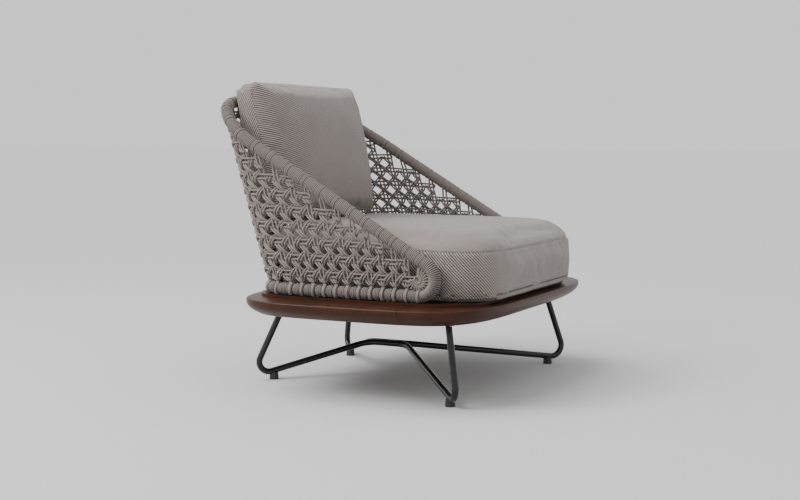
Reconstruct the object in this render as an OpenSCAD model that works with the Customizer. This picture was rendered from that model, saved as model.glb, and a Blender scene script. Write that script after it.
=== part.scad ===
// Lounge armchair: a bent steel tube base, a shaped timber plinth, a cord-woven shell and two loose cushions.
// The chair faces -Y. The origin is on the floor, under the middle of the chair's box.

/* [Plinth] */
// Half the plinth's width at its rim
plinth_half_w = 453; // [430:1:470]
// Half the plinth's depth at its rim
plinth_half_d = 332; // [320:1:345]
// Y of the plinth's middle
plinth_mid_y = -51; // [-60:1:-40]
// Height of the plinth's flat top above the floor
plinth_top = 232; // [225:1:240]
// Thickness of the plinth from its flat top to its flat underside
plinth_t = 37; // [32:1:42]
// How square the plinth's outline is, as a superellipse exponent
plinth_squareness = 4.6; // [4:0.1:5.5]

/* [Deck] */
// Thickness of the raised deck frame under the shell
deck_t = 7; // [5:1:8]
// Number of seat slats
slat_count = 6; // [5:1:7]
// Width of one slat
slat_w = 52; // [44:1:56]

/* [Shell] */
// Half the distance between the two arm rails' centres
rail_half_w = 348; // [340:1:356]
// Radius of a rail with its cord wrapping
wrap_r = 15; // [13:0.5:17]
// Radius of the steel tube inside the wrapping
core_r = 11; // [9:0.5:12]
// Plan radius of the shell's rear corners, at the rail centres
corner_r = 100; // [90:5:115]
// Lean of the shell's back from upright, in degrees
shell_lean = 16.6; // [14:0.2:19]
// Slope of the arm rails, in degrees
arm_slope = 30.5; // [26:0.5:34]
// Height of the back rail's centre
back_rail_z = 709; // [690:1:720]
// Bend radius at the front of each arm
front_bend_r = 39; // [32:1:44]
// Thickness of the woven skin
weave_t = 8; // [5:1:10]

/* [Base] */
// Radius of the base tube
tube_r = 8; // [7:0.5:10]
// Height of the two tubes where they run side by side
spine_z = 81; // [70:1:95]
// Bend radius at the front feet
front_foot_bend_r = 30; // [26:1:34]
// Bend radius at the rear feet
rear_foot_bend_r = 26; // [22:1:30]

/* [Cushions] */
// Half the seat cushion's width
seat_half_w = 330; // [310:1:331]
// Height of the seat cushion's top
seat_top = 405; // [385:1:420]
// Half the back cushion's width
back_half_w = 268; // [260:1:280]
// Height of the back cushion's top
back_top = 766; // [740:1:785]
// Wall of padding and cloth around each foam core
cover_t = 16; // [10:1:24]

/* [Hidden] */

$fn = 48;
LEFT = -1;
RIGHT = 1;
steel = [0.05, 0.05, 0.055];
timber = [0.30, 0.14, 0.08];
cord = [0.55, 0.52, 0.49];
cloth = [0.64, 0.61, 0.58];
foam = [0.90, 0.86, 0.70];

gap = 0.2;             // working gap between pieces that are fastened together
far = 900;             // larger than any outline, for cutting
plinth_bottom = plinth_top - plinth_t;
deck_top = plinth_top + deck_t;
base_rail_z = deck_top + wrap_r;
shell_foot_y = 232;    // rear rail's centre at the height of the base rails
arm_ref_y = 260;       // a point that the arm rail's line passes through
arm_ref_z = 615;
sweep_sides = 12;      // sides of a rail's rings
tube_sides = 16;       // sides of a base tube's rings

// ---- vectors and rounded paths ----
function unit(v) = v / norm(v);
function flat(list) = [for (part = list) for (p = part) p];

// Corner b between a and c, rounded with radius r: [start, end, centre, turn in degrees]
function bend(a, b, c, r) =
    let (u = unit(a - b), v = unit(c - b), half = acos(u * v) / 2)
    [b + u * r / tan(half), b + v * r / tan(half), b + unit(u + v) * r / sin(half), 180 - 2 * half];
function bend_points(a, b, c, r, steps) =
    let (k = bend(a, b, c, r), u = unit(a - b))
    [for (i = [0:steps]) let (t = k[3] * i / steps) k[2] + (k[0] - k[2]) * cos(t) - u * r * sin(t)];
function rounded_path(pts, radii, steps) = flat([
    [pts[0]],
    for (i = [1:len(pts) - 2]) bend_points(pts[i - 1], pts[i], pts[i + 1], radii[i - 1], steps[i - 1]),
    [pts[len(pts) - 1]]]);

// ---- a tube of rings along any path ----
function tangent(path, i) =
    unit(path[min(i + 1, len(path) - 1)] - path[max(i - 1, 0)]);
function square_to(n, t) = unit(n - t * (n * t));
function carried_normals(path) =
    [for (i = 0, n = square_to([1, 0, 0], tangent(path, 0)); i < len(path);
        i = i + 1, n = i < len(path) ? square_to(n, tangent(path, i)) : n) n];
function rings(path, r, sides) =
    let (normals = carried_normals(path))
    [for (i = [0:len(path) - 1]) let (t = tangent(path, i), n = normals[i], b = cross(t, n))
        for (j = [0:sides - 1]) let (a = 360 * j / sides)
            path[i] + r * (cos(a) * n + sin(a) * b)];

module swept_rod(path, r, sides = sweep_sides) {
    m = sides;
    last = (len(path) - 1) * m;
    polyhedron(
        points = rings(path, r, m),
        faces = concat(
            [[for (j = [0:m - 1]) j]],
            [[for (j = [m - 1:-1:0]) last + j]],
            [for (i = [0:len(path) - 2]) for (j = [0:m - 1]) let (k = (j + 1) % m)
                [i * m + j, (i + 1) * m + j, (i + 1) * m + k, i * m + k]]));
}

module swept_sleeve(path, outer_r, inner_r) {
    m = sweep_sides;
    n = len(path) * m;
    last = n - m;
    polyhedron(
        points = concat(rings(path, outer_r, m), rings(path, inner_r, m)),
        faces = concat(
            [for (i = [0:len(path) - 2]) for (j = [0:m - 1]) let (k = (j + 1) % m)
                [i * m + j, (i + 1) * m + j, (i + 1) * m + k, i * m + k]],
            [for (i = [0:len(path) - 2]) for (j = [0:m - 1]) let (k = (j + 1) % m)
                [n + i * m + k, n + (i + 1) * m + k, n + (i + 1) * m + j, n + i * m + j]],
            [for (j = [0:m - 1]) let (k = (j + 1) % m) [j, k, n + k, n + j]],
            [for (j = [0:m - 1]) let (k = (j + 1) % m)
                [last + k, last + j, n + last + j, n + last + k]]));
}

// A solid through a stack of rings with equal numbers of points, the lowest ring first
module loft(stack) {
    m = len(stack[0]);
    last = (len(stack) - 1) * m;
    polyhedron(
        points = flat(stack),
        faces = concat(
            [[for (j = [0:m - 1]) j]],
            [[for (j = [m - 1:-1:0]) last + j]],
            [for (i = [0:len(stack) - 2]) for (j = [0:m - 1]) let (k = (j + 1) % m)
                [i * m + k, i * m + j, (i + 1) * m + j, (i + 1) * m + k]]));
}

// A level rail of exact cylinders with one exact bend: from a, round corner b, to c
module level_rail(a, b, c, bend_r, r) {
    k = bend(a, b, c, bend_r);
    for (ends = [[a, k[0]], [k[1], c]])
        let (d = ends[1] - ends[0])
            translate(ends[0])
                rotate([0, 90, atan2(d[1], d[0])])
                    cylinder(h = norm(d), r = r);
    translate(k[2])
        rotate([0, 0, 90])
            rotate_extrude(angle = 90)
                translate([bend_r, 0])
                    circle(r = r);
}

module mirrored(side) {
    if (side == RIGHT) mirror([1, 0, 0]) children();
    else children();
}

// ---- base: two bent tubes, joined along the middle ----
front_corner = [-371, -316, 13];
front_rise = [41, 38.5, 160];
rear_corner = [-252, 310, 9];
rear_rise = [62.4, -48.7, 160];
plate_t = 3;
plate_under = plinth_bottom - plate_t;
spine_x = -tube_r - 0.1;
spine_front = [spine_x, -11, spine_z];
spine_rear = [spine_x, 103, spine_z];
spine_bend_r = 60;
leg_cut = tube_r * 0.45;   // the square-cut end stays this far under its plate at the middle
function leg_top(corner, rise) = corner + rise * (plate_under - leg_cut - corner[2]) / rise[2];
front_top = leg_top(front_corner, front_rise);
rear_top = leg_top(rear_corner, rear_rise);
leg_path = rounded_path(
    [rear_top, rear_corner, spine_rear, spine_front, front_corner, front_top],
    [rear_foot_bend_r, spine_bend_r, spine_bend_r, front_foot_bend_r], [9, 5, 5, 9]);

// A foot stands a little inward of the lowest point of the bend at corner b, towards a
foot_inset = 13;
function foot_place(a, b, c, r) =
    let (k = bend(a, b, c, r), n = unit(cross(a - b, c - b)), up = unit([0, 0, 1] - n * n[2]))
    k[2] - r * up + foot_inset * unit([a[0] - b[0], a[1] - b[1], 0]);
front_foot_at = foot_place(spine_front, front_corner, front_top, front_foot_bend_r);
rear_foot_at = foot_place(spine_rear, rear_corner, rear_top, rear_foot_bend_r);

module leg_tube(side) {
    color(steel)
        mirrored(side)
            swept_rod(leg_path, tube_r, tube_sides);
}
module left_leg_tube() { leg_tube(LEFT); }
module right_leg_tube() { leg_tube(RIGHT); }

// Three short weld beads in the groove under the two tubes
module spine_welds() {
    bead_r = 2.2;
    bead_len = 22;
    color(steel)
        for (y = [20, 46, 72])
            difference() {
                translate([0, y - bead_len / 2, spine_z - tube_r + bead_r + 0.6])
                    rotate([-90, 0, 0])
                        cylinder(h = bead_len, r = bead_r);
                for (x = [spine_x, -spine_x])
                    translate([x, y - bead_len, spine_z])
                        rotate([-90, 0, 0])
                            cylinder(h = 2 * bead_len, r = tube_r);
            }
}

// ---- mounting plates and their screws ----
front_plate_at = [-323, -272];
rear_plate_at = [-181, 237];
front_plate_size = [64, 54];
rear_plate_size = [66, 46];
screw_shank_r = 2;
screw_head_r = 4.2;
screw_head_t = 1.8;
screw_len = 22;
corner_signs = [[-1, -1], [1, -1], [-1, 1], [1, 1]];
screw_edge = 9;            // from a screw's centre to the plate's edge
function screw_offsets(size) =
    [for (s = corner_signs) [s[0] * (size[0] / 2 - screw_edge), s[1] * (size[1] / 2 - screw_edge)]];

module plate_shape(size) {
    r = 6;
    for (s = corner_signs)
        translate([s[0] * (size[0] / 2 - r), s[1] * (size[1] / 2 - r)])
            circle(r = r);
    square([size[0] - 2 * r, size[1]], center = true);
    square([size[0], size[1] - 2 * r], center = true);
}

module leg_plate(at, size, side) {
    color(steel)
        mirrored(side)
            translate([at[0], at[1], plate_under])
                difference() {
                    linear_extrude(plate_t)
                        plate_shape(size);
                    for (o = screw_offsets(size))
                        translate([o[0], o[1], -1])
                            cylinder(h = plate_t + 2, r = screw_shank_r);
                }
}
module front_left_plate() { leg_plate(front_plate_at, front_plate_size, LEFT); }
module front_right_plate() { leg_plate(front_plate_at, front_plate_size, RIGHT); }
module rear_left_plate() { leg_plate(rear_plate_at, rear_plate_size, LEFT); }
module rear_right_plate() { leg_plate(rear_plate_at, rear_plate_size, RIGHT); }

module each_plate_screw() {
    for (side = [LEFT, RIGHT])
        mirrored(side)
            for (p = [[front_plate_at, front_plate_size], [rear_plate_at, rear_plate_size]])
                for (o = screw_offsets(p[1]))
                    translate([p[0][0] + o[0], p[0][1] + o[1], plate_under])
                        children();
}

module plate_screws() {
    color(steel)
        each_plate_screw() {
            cylinder(h = screw_len, r = screw_shank_r);
            translate([0, 0, -screw_head_t])
                cylinder(h = screw_head_t, r = screw_head_r);
        }
}

// ---- feet: a flared glide with a saddle for the tube ----
module foot(at, side) {
    foot_r = 12;
    neck_r = 10.5;
    foot_h = 18;
    color([0.12, 0.12, 0.13])
        difference() {
            mirrored(side)
                translate([at[0], at[1], 0])
                    cylinder(h = foot_h, r1 = foot_r, r2 = neck_r);
            mirrored(side)
                swept_rod(leg_path, tube_r + 0.05, tube_sides);
        }
}
module front_left_foot() { foot(front_foot_at, LEFT); }
module front_right_foot() { foot(front_foot_at, RIGHT); }
module rear_left_foot() { foot(rear_foot_at, LEFT); }
module rear_right_foot() { foot(rear_foot_at, RIGHT); }

// ---- plinth: four boards around an opening for the slats ----
outline_steps = 72;
rear_slope_share = 0.75;   // the underside slopes in less at the rear than at the front
rim_profile = [[2.5, 0], [0, 3], [0, 8], [4, 17], [11, 26], [20, 33], [31, plinth_t]];  // [inset, depth below the top]
opening_half_w = 290;
opening_front = -225;
opening_rear = 150;
front_joint_y = -202;
rear_joint_y = 128;

function signed_power(v, e) = sign(v) * pow(abs(v), e);
function plinth_outline(inset) =
    let (share = (1 - rear_slope_share) / 2, e = 2 / plinth_squareness)
    [for (i = [0:outline_steps - 1]) let (t = 360 * (i + 0.5) / outline_steps)
        [(plinth_half_w - inset) * signed_power(cos(t), e),
         plinth_mid_y + inset * share + (plinth_half_d - inset * (1 - share)) * signed_power(sin(t), e)]];

// The outline lofted down through the rim's profile
module plinth_body() {
    loft([for (k = [len(rim_profile) - 1:-1:0])
        [for (q = plinth_outline(rim_profile[k][0])) [q[0], q[1], plinth_top - rim_profile[k][1]]]]);
}

module slab(x0, x1, y0, y1, z0, z1) {
    translate([x0, y0, z0])
        cube([x1 - x0, y1 - y0, z1 - z0]);
}

slat_seat = 8;             // depth of the rebate that the slats lie in
slat_t = 14;
slat_half_len = 310;
slats_front = -235;
slats_rear = 155;

module plinth_ring() {
    difference() {
        plinth_body();
        slab(-opening_half_w, opening_half_w, opening_front, opening_rear, plinth_bottom - 5, plinth_top + 5);
        slab(-slat_half_len - 1, slat_half_len + 1, slats_front - 1, slats_rear + 1, plinth_top - slat_seat,
            plinth_top + 5);
        each_plate_screw()
            cylinder(h = screw_len, r = screw_shank_r);
        each_dowel(0.05);
        each_slat_screw()
            translate([0, 0, -slat_screw_len])
                cylinder(h = slat_screw_len, r = screw_shank_r);
        each_hoop_bolt()
            cylinder(h = 100, r = bolt_r + gap);
    }
}

module board(y0, y1, x0, x1) {
    color(timber)
        intersection() {
            plinth_ring();
            slab(x0, x1, y0, y1, 0, 400);
        }
}
module front_board() { board(-far, front_joint_y, -far, far); }
module rear_board() { board(rear_joint_y, far, -far, far); }
module left_board() { board(front_joint_y + 0.1, rear_joint_y - 0.1, -far, 0); }
module right_board() { board(front_joint_y + 0.1, rear_joint_y - 0.1, 0, far); }

dowel_r = 5;
dowel_len = 50;
dowel_z = 213;
module each_dowel(extra) {
    for (x = [-400, -335, 335, 400], y = [front_joint_y, rear_joint_y])
        translate([x, y - dowel_len / 2, dowel_z])
            rotate([-90, 0, 0])
                cylinder(h = dowel_len, r = dowel_r + extra);
}
module board_dowels() { color("tan") each_dowel(0); }

// ---- deck: a raised frame under the shell, slats in its opening ----
module rounded_outline(half_w, y0, y1, r_front, r_rear) {
    square_front = y0 + r_front;
    square_rear = y1 - r_rear;
    translate([-half_w, square_front])
        square([2 * half_w, square_rear - square_front]);
    for (s = [LEFT, RIGHT]) {
        translate([s * (half_w - r_front), square_front])
            circle(r = r_front);
        translate([s * (half_w - r_rear), square_rear])
            circle(r = r_rear);
    }
    translate([-half_w + r_front, y0])
        square([2 * (half_w - r_front), r_front]);
    translate([-half_w + r_rear, square_rear])
        square([2 * (half_w - r_rear), r_rear]);
}

deck_half_w = 367;
module deck_frame() {
    color(timber)
        difference() {
            translate([0, 0, plinth_top])
                linear_extrude(deck_t)
                    difference() {
                        rounded_outline(deck_half_w, -338, 252, 110, 104, $fn = 96);
                        rounded_outline(slat_half_len + 1, slats_front - 6, slats_rear + 6, 12, 12);
                    }
            each_hoop_bolt()
                cylinder(h = 100, r = bolt_r + gap);
        }
}

slat_pitch = (slats_rear - slats_front - slat_w) / (slat_count - 1);
slat_screw_len = 18;
slat_screw_x = 300;
function slat_mid_y(i) = slats_front + slat_w / 2 + (i - 1) * slat_pitch;

module each_slat_screw() {
    for (i = [1:slat_count], s = [LEFT, RIGHT])
        translate([s * slat_screw_x, slat_mid_y(i), plinth_top - slat_seat + slat_t])
            children();
}

module slat(i) {
    edge = 3;
    color(timber)
        difference() {
            translate([-slat_half_len, slat_mid_y(i), plinth_top - slat_seat])
                rotate([90, 0, 90])
                    linear_extrude(2 * slat_half_len)
                        polygon([
                            [-slat_w / 2, 0], [slat_w / 2, 0],
                            [slat_w / 2, slat_t - edge], [slat_w / 2 - edge, slat_t],
                            [-slat_w / 2 + edge, slat_t], [-slat_w / 2, slat_t - edge]]);
            each_slat_screw() {
                translate([0, 0, -slat_screw_len])
                    cylinder(h = slat_screw_len + 1, r = screw_shank_r);
                translate([0, 0, -screw_head_t])
                    cylinder(h = 5, r = screw_head_r);
            }
        }
}
module slat_1() { slat(1); }
module slat_2() { slat(2); }
module slat_3() { slat(3); }
module slat_4() { slat(4); }
module slat_5() { slat(5); }
module slat_6() { slat(6); }

module slat_screws() {
    color("silver")
        each_slat_screw() {
            translate([0, 0, -slat_screw_len])
                cylinder(h = slat_screw_len - screw_head_t, r = screw_shank_r);
            translate([0, 0, -screw_head_t])
                cylinder(h = screw_head_t, r = screw_head_r);
        }
}

// ---- shell: the surface that the rails and the weave lie on ----
// Across the surface, s runs back along the side, round the corner and along the back; h runs up the lean.
corner_arc = corner_r * PI / 2;
function on_shell(s, h) =
    let (
        turned = max(0, min(s + corner_r, corner_arc)) / corner_r * 180 / PI,
        beyond = max(0, s + corner_r - corner_arc),
        v = s < -corner_r ? s : -corner_r + corner_r * sin(turned),
        x = -rail_half_w + corner_r * (1 - cos(turned)) + beyond)
    [x, shell_foot_y + v * cos(shell_lean) + h * sin(shell_lean),
        base_rail_z - v * sin(shell_lean) + h * cos(shell_lean)];
function shell_s(y, z) = (y - shell_foot_y) * cos(shell_lean) - (z - base_rail_z) * sin(shell_lean);
function shell_h(y, z) = (y - shell_foot_y) * sin(shell_lean) + (z - base_rail_z) * cos(shell_lean);
function surface_point(y, z) = [shell_s(y, z), shell_h(y, z)];

back_rail_h = (back_rail_z - base_rail_z) / cos(shell_lean);
function arm_z(y) = arm_ref_z + (y - arm_ref_y) * tan(arm_slope);
arm_front_y = arm_ref_y + (base_rail_z - arm_ref_z) / tan(arm_slope);
arm_wrap_end_y = -172;
crest_ref = surface_point(arm_ref_y, arm_ref_z);
crest_s = crest_ref[0] + (back_rail_h - crest_ref[1]) / tan(arm_slope + shell_lean);
arm_end_s = corner_arc - corner_r + 40;
crest_bend_r = 130;

arm_route = rounded_path(
    [surface_point(arm_wrap_end_y, base_rail_z), surface_point(arm_front_y, base_rail_z),
        [crest_s, back_rail_h], [arm_end_s, back_rail_h]],
    [front_bend_r, crest_bend_r], [9, 6]);
corner_start = [for (p = arm_route) if (p[0] > -corner_r) p];
straight_end = crest_ref + [-corner_r - crest_ref[0], (-corner_r - crest_ref[0]) * tan(arm_slope + shell_lean)];
corner_steps = 6;
corner_rise = [for (i = [0:corner_steps - 1]) straight_end + (corner_start[0] - straight_end) * i / corner_steps];
arm_path = [for (p = concat([for (p = arm_route) if (p[0] <= -corner_r) p], corner_rise, corner_start))
    on_shell(p[0], p[1])];
arm_end = arm_path[len(arm_path) - 1];

module on_lean() {
    translate([0, shell_foot_y, base_rail_z])
        rotate([-shell_lean, 0, 0])
            children();
}

module skin_outline() {
    difference() {
        rounded_outline(rail_half_w + weave_t / 2, -far, weave_t / 2, 1, corner_r + weave_t / 2, $fn = 96);
        rounded_outline(rail_half_w - weave_t / 2, -far - 5, -weave_t / 2, 1, corner_r - weave_t / 2, $fn = 96);
    }
}

module skin_wall() {
    on_lean()
        translate([0, 0, -300])
            linear_extrude(900)
                skin_outline();
}

base_corner = [-rail_half_w, shell_foot_y, base_rail_z];
module base_rail(r, front_y, end_x) {
    level_rail([-rail_half_w, front_y, base_rail_z], base_corner, [end_x, shell_foot_y, base_rail_z], corner_r, r);
}

module rail_cutter() {
    swept_rod(arm_path, wrap_r + gap);
    swept_rod(
        rounded_path([[-rail_half_w, arm_wrap_end_y - 20, base_rail_z], base_corner, [0, shell_foot_y, base_rail_z]],
            [corner_r], [12]),
        (wrap_r + gap) / cos(180 / sweep_sides));
    translate([arm_end[0] - 1, arm_end[1], arm_end[2]])
        rotate([0, 90, 0])
            cylinder(h = -arm_end[0] + 2, r = wrap_r + gap);
}

side_profile = concat([for (p = arm_path) [p[1], p[2]]], [[arm_end[1] + 60, arm_end[2]], [arm_end[1] + 60, base_rail_z]]);
weave_split_x = rail_half_w - corner_r - 1;

module side_weave(side) {
    color(cord)
        mirrored(side)
            difference() {
                intersection() {
                    skin_wall();
                    translate([-rail_half_w - 20, 0, 0])
                        rotate([90, 0, 90])
                            linear_extrude(rail_half_w + 20 - weave_split_x)
                                polygon(side_profile);
                }
                rail_cutter();
            }
}
module left_weave() { side_weave(LEFT); }
module right_weave() { side_weave(RIGHT); }

// Its top corners drop a little, where the arm rails still rise to meet the back rail
module back_weave() {
    half_w = weave_split_x - gap;
    bottom = wrap_r + 1.5;
    top = back_rail_h - wrap_r - gap;
    color(cord)
        on_lean()
            translate([0, weave_t / 2, 0])
                rotate([90, 0, 0])
                    linear_extrude(weave_t)
                        polygon([[-half_w, bottom], [half_w, bottom], [half_w, top - 6],
                                 [half_w - 36, top], [36 - half_w, top], [-half_w, top - 6]]);
}

// ---- shell tubes, hidden in the cord wrapping ----
module arm_tube(side) { color(steel) mirrored(side) swept_rod(arm_path, core_r); }
module left_arm_tube() { arm_tube(LEFT); }
module right_arm_tube() { arm_tube(RIGHT); }

module back_rail_tube() {
    color(steel)
        translate([arm_end[0] + gap, arm_end[1], arm_end[2]])
            rotate([0, 90, 0])
                cylinder(h = -2 * (arm_end[0] + gap), r = core_r);
}

module base_rail_tube() {
    color(steel)
        difference() {
            for (side = [LEFT, RIGHT])
                mirrored(side)
                    base_rail(core_r, arm_wrap_end_y + gap, 0);
            each_hoop_bolt()
                cylinder(h = bolt_len + gap, r = bolt_r);
        }
}

upright_x = 215;
upright_r = 8;
module upright(side) {
    lift = weave_t / 2 + upright_r + gap;
    color(steel)
        mirrored(side)
            difference() {
                on_lean()
                    translate([-upright_x, -lift, 0])
                        cylinder(h = back_rail_h, r = upright_r);
                on_lean()
                    for (h = [0, back_rail_h])
                        translate([-upright_x - 20, 0, h])
                            rotate([0, 90, 0])
                                cylinder(h = 40, r = wrap_r + gap);
            }
}
module left_upright() { upright(LEFT); }
module right_upright() { upright(RIGHT); }

// ---- bolts that hold the shell down on the plinth ----
bolt_r = 3;
bolt_len = 52;
bolt_head_r = 6;
bolt_head_t = 4;
module each_hoop_bolt() {
    for (p = [[-rail_half_w, -130], [-rail_half_w, 60], [-90, shell_foot_y],
              [90, shell_foot_y], [rail_half_w, 60], [rail_half_w, -130]])
        translate([p[0], p[1], plinth_bottom])
            children();
}
module hoop_bolts() {
    color("silver")
        each_hoop_bolt() {
            cylinder(h = bolt_len, r = bolt_r);
            translate([0, 0, -bolt_head_t])
                cylinder(h = bolt_head_t, r = bolt_head_r);
        }
}

// ---- cord wrapping around the rails ----
sleeve_r = core_r + gap;
module arm_wrap(side) { color(cord) mirrored(side) swept_sleeve(arm_path, wrap_r, sleeve_r); }
module left_arm_wrap() { arm_wrap(LEFT); }
module right_arm_wrap() { arm_wrap(RIGHT); }

module back_rail_wrap() {
    color(cord)
        translate([arm_end[0] + gap, arm_end[1], arm_end[2]])
            rotate([0, 90, 0])
                difference() {
                    cylinder(h = -2 * (arm_end[0] + gap), r = wrap_r);
                    translate([0, 0, -1])
                        cylinder(h = -2 * arm_end[0] + 2, r = sleeve_r);
                }
}

rear_wrap_end = rail_half_w - corner_r;
module base_sleeve() {
    difference() {
        base_rail(wrap_r, arm_wrap_end_y, 0);
        base_rail(sleeve_r, arm_wrap_end_y - 5, 5);
        each_hoop_bolt()
            cylinder(h = bolt_len, r = bolt_r + gap);
    }
}
module side_base_wrap(side) {
    color(cord)
        mirrored(side)
            intersection() {
                base_sleeve();
                slab(-far, -rear_wrap_end, arm_wrap_end_y + gap, far, 0, far);
            }
}
module left_base_wrap() { side_base_wrap(LEFT); }
module right_base_wrap() { side_base_wrap(RIGHT); }

module rear_base_wrap() {
    half_len = rear_wrap_end - gap;
    color(cord)
        difference() {
            translate([-half_len, shell_foot_y, base_rail_z])
                rotate([0, 90, 0])
                    difference() {
                        cylinder(h = 2 * half_len, r = wrap_r);
                        translate([0, 0, -1])
                            cylinder(h = 2 * half_len + 2, r = sleeve_r);
                    }
            each_hoop_bolt()
                cylinder(h = bolt_len, r = bolt_r + gap);
        }
}

// ---- cushions: padded covers around foam cores ----
seat_bottom = deck_top + 0.5;
seat_front = -376;
seat_rear = 208;
seat_seam = 354;
seat_front_r = 108;
seat_rear_r = 80;

function rounded_ring(half_w, y0, y1, r_front, r_rear, z, steps) =
    [for (q = [[1, -1, -90], [1, 1, 0], [-1, 1, 90], [-1, -1, 180]]) let (r = q[1] < 0 ? r_front : r_rear)
        for (i = [0:steps]) let (a = q[2] + 90 * i / steps)
            [q[0] * (half_w - r) + r * cos(a), (q[1] < 0 ? y0 + r : y1 - r) + r * sin(a), z]];

// Layers are [how far the front and sides draw in, height, how far the rear goes back with the shell's lean]
module seat_form(inset) {
    layers = [[0, seat_bottom + inset, -3], [0, seat_seam, 28], [8, seat_seam + 16, 33],
        [32, seat_top - 18 - inset / 2, 36], [90, seat_top - inset, 28]];
    loft([for (k = layers)
        rounded_ring(seat_half_w - k[0] - inset, seat_front + k[0] + inset, seat_rear + k[2] - inset,
            seat_front_r - k[0] / 4, seat_rear_r - k[0] / 4, k[1], 9)]);
}
module seat_cover() {
    color(cloth)
        difference() {
            seat_form(0);
            seat_form(cover_t);
        }
}
module seat_foam() { color(foam) seat_form(cover_t + gap); }

// The back cushion stands on the seat cushion and leans on the weave
back_bottom = seat_top + 0.8;
back_front = [220, 292];     // y of the front face's edges at the bottom and at the top
back_rear = [256, 352];      // y of the rear face at the bottom and at the top
back_crown = 48;             // how far the middle of the front stands forward of its edges
module back_form(inset) {
    edge_r = 16 - inset / 2;
    crown_r = 40;
    reach = inset + edge_r;
    ends = [[back_bottom + reach, back_front[0], back_rear[0]], [back_top - reach, back_front[1], back_rear[1]]];
    hull() {
        for (x = [-1, 1] * (back_half_w - reach), k = ends, y = [k[1] + reach, k[2] - reach])
            translate([x, y, k[0]])
                sphere(r = edge_r, $fn = 18);
        for (x = [-110, 110], k = [[back_bottom + 120, 0.25], [back_top - 120, 0.75]])
            translate([x, back_front[0] + (back_front[1] - back_front[0]) * k[1] - back_crown + crown_r, k[0]])
                sphere(r = crown_r - inset, $fn = 24);
    }
}
module back_cover() {
    color(cloth)
        difference() {
            back_form(0);
            back_form(cover_t);
        }
}
module back_foam() { color(foam) back_form(cover_t + gap); }

left_leg_tube();
right_leg_tube();
spine_welds();
front_left_plate();
front_right_plate();
rear_left_plate();
rear_right_plate();
plate_screws();
front_left_foot();
front_right_foot();
rear_left_foot();
rear_right_foot();
front_board();
rear_board();
left_board();
right_board();
board_dowels();
deck_frame();
slat_1();
slat_2();
slat_3();
slat_4();
slat_5();
slat_6();
slat_screws();
hoop_bolts();
left_arm_tube();
right_arm_tube();
back_rail_tube();
base_rail_tube();
left_upright();
right_upright();
left_arm_wrap();
right_arm_wrap();
back_rail_wrap();
left_base_wrap();
right_base_wrap();
rear_base_wrap();
left_weave();
right_weave();
back_weave();
seat_cover();
seat_foam();
back_cover();
back_foam();
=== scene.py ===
"""Looks of a low lounge armchair: tube base, timber plinth, cord-woven shell, two loose cushions."""

import math

import bmesh
import bpy
import numpy as np
from bpy.props import FloatProperty, FloatVectorProperty, IntProperty, PointerProperty
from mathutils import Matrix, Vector, noise
from mathutils.bvhtree import BVHTree


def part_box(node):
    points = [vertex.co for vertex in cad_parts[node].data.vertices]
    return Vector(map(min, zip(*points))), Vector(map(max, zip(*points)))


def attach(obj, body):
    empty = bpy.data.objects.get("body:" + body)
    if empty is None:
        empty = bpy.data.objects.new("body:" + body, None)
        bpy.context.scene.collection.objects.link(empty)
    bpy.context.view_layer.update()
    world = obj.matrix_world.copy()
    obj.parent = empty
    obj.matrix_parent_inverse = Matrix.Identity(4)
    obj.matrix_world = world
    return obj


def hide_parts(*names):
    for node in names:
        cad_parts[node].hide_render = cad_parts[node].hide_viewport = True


bl_info = {
    "name": "Lounge Armchair",
    "version": (1, 0, 0),
    "blender": (4, 5, 0),
    "location": "View3D > Sidebar > Armchair",
    "description": "Builds the looks of a cord-woven lounge armchair round its frame",
    "category": "Object",
}

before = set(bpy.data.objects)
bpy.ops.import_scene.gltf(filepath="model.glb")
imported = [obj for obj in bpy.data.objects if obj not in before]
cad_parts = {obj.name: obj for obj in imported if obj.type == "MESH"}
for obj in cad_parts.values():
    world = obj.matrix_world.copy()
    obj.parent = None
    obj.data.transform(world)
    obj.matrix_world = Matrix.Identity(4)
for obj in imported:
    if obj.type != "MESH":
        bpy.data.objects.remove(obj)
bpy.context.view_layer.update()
FRAME_BODY, SEAT_BODY, BACK_BODY = "chair_frame", "seat_cushion", "back_cushion"
MM = 0.001


# ---- sizes that follow from the frame ----
def low(node):
    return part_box(node)[0]


def high(node):
    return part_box(node)[1]


WRAP_R = (high("back_rail_wrap").z - low("back_rail_wrap").z) / 2
RAIL_X = high("right_base_wrap").x - WRAP_R            # arm rails' distance from the middle plane
BASE_Z = (high("rear_base_wrap").z + low("rear_base_wrap").z) / 2
FOOT_Y = (high("rear_base_wrap").y + low("rear_base_wrap").y) / 2
BACK_RAIL_Z = (high("back_rail_wrap").z + low("back_rail_wrap").z) / 2
BACK_RAIL_Y = (high("back_rail_wrap").y + low("back_rail_wrap").y) / 2
CORNER_R = RAIL_X - high("rear_base_wrap").x - 0.2 * MM
LEAN = math.atan2(BACK_RAIL_Y - FOOT_Y, BACK_RAIL_Z - BASE_Z)
ARM_SLOPE = math.radians(30.5)
ARM_LINE = (0.260, 0.615)                              # y, z of a point on the arm rails' slope
ARM_END_Y = low("left_base_wrap").y - 0.2 * MM
FRONT_BEND_R = 0.039
CREST_BEND_R = 0.130
TUBE_R = 8 * MM
PLINTH_TOP = low("deck_frame").z
PLINTH_BOTTOM = high("front_left_plate").z


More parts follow.
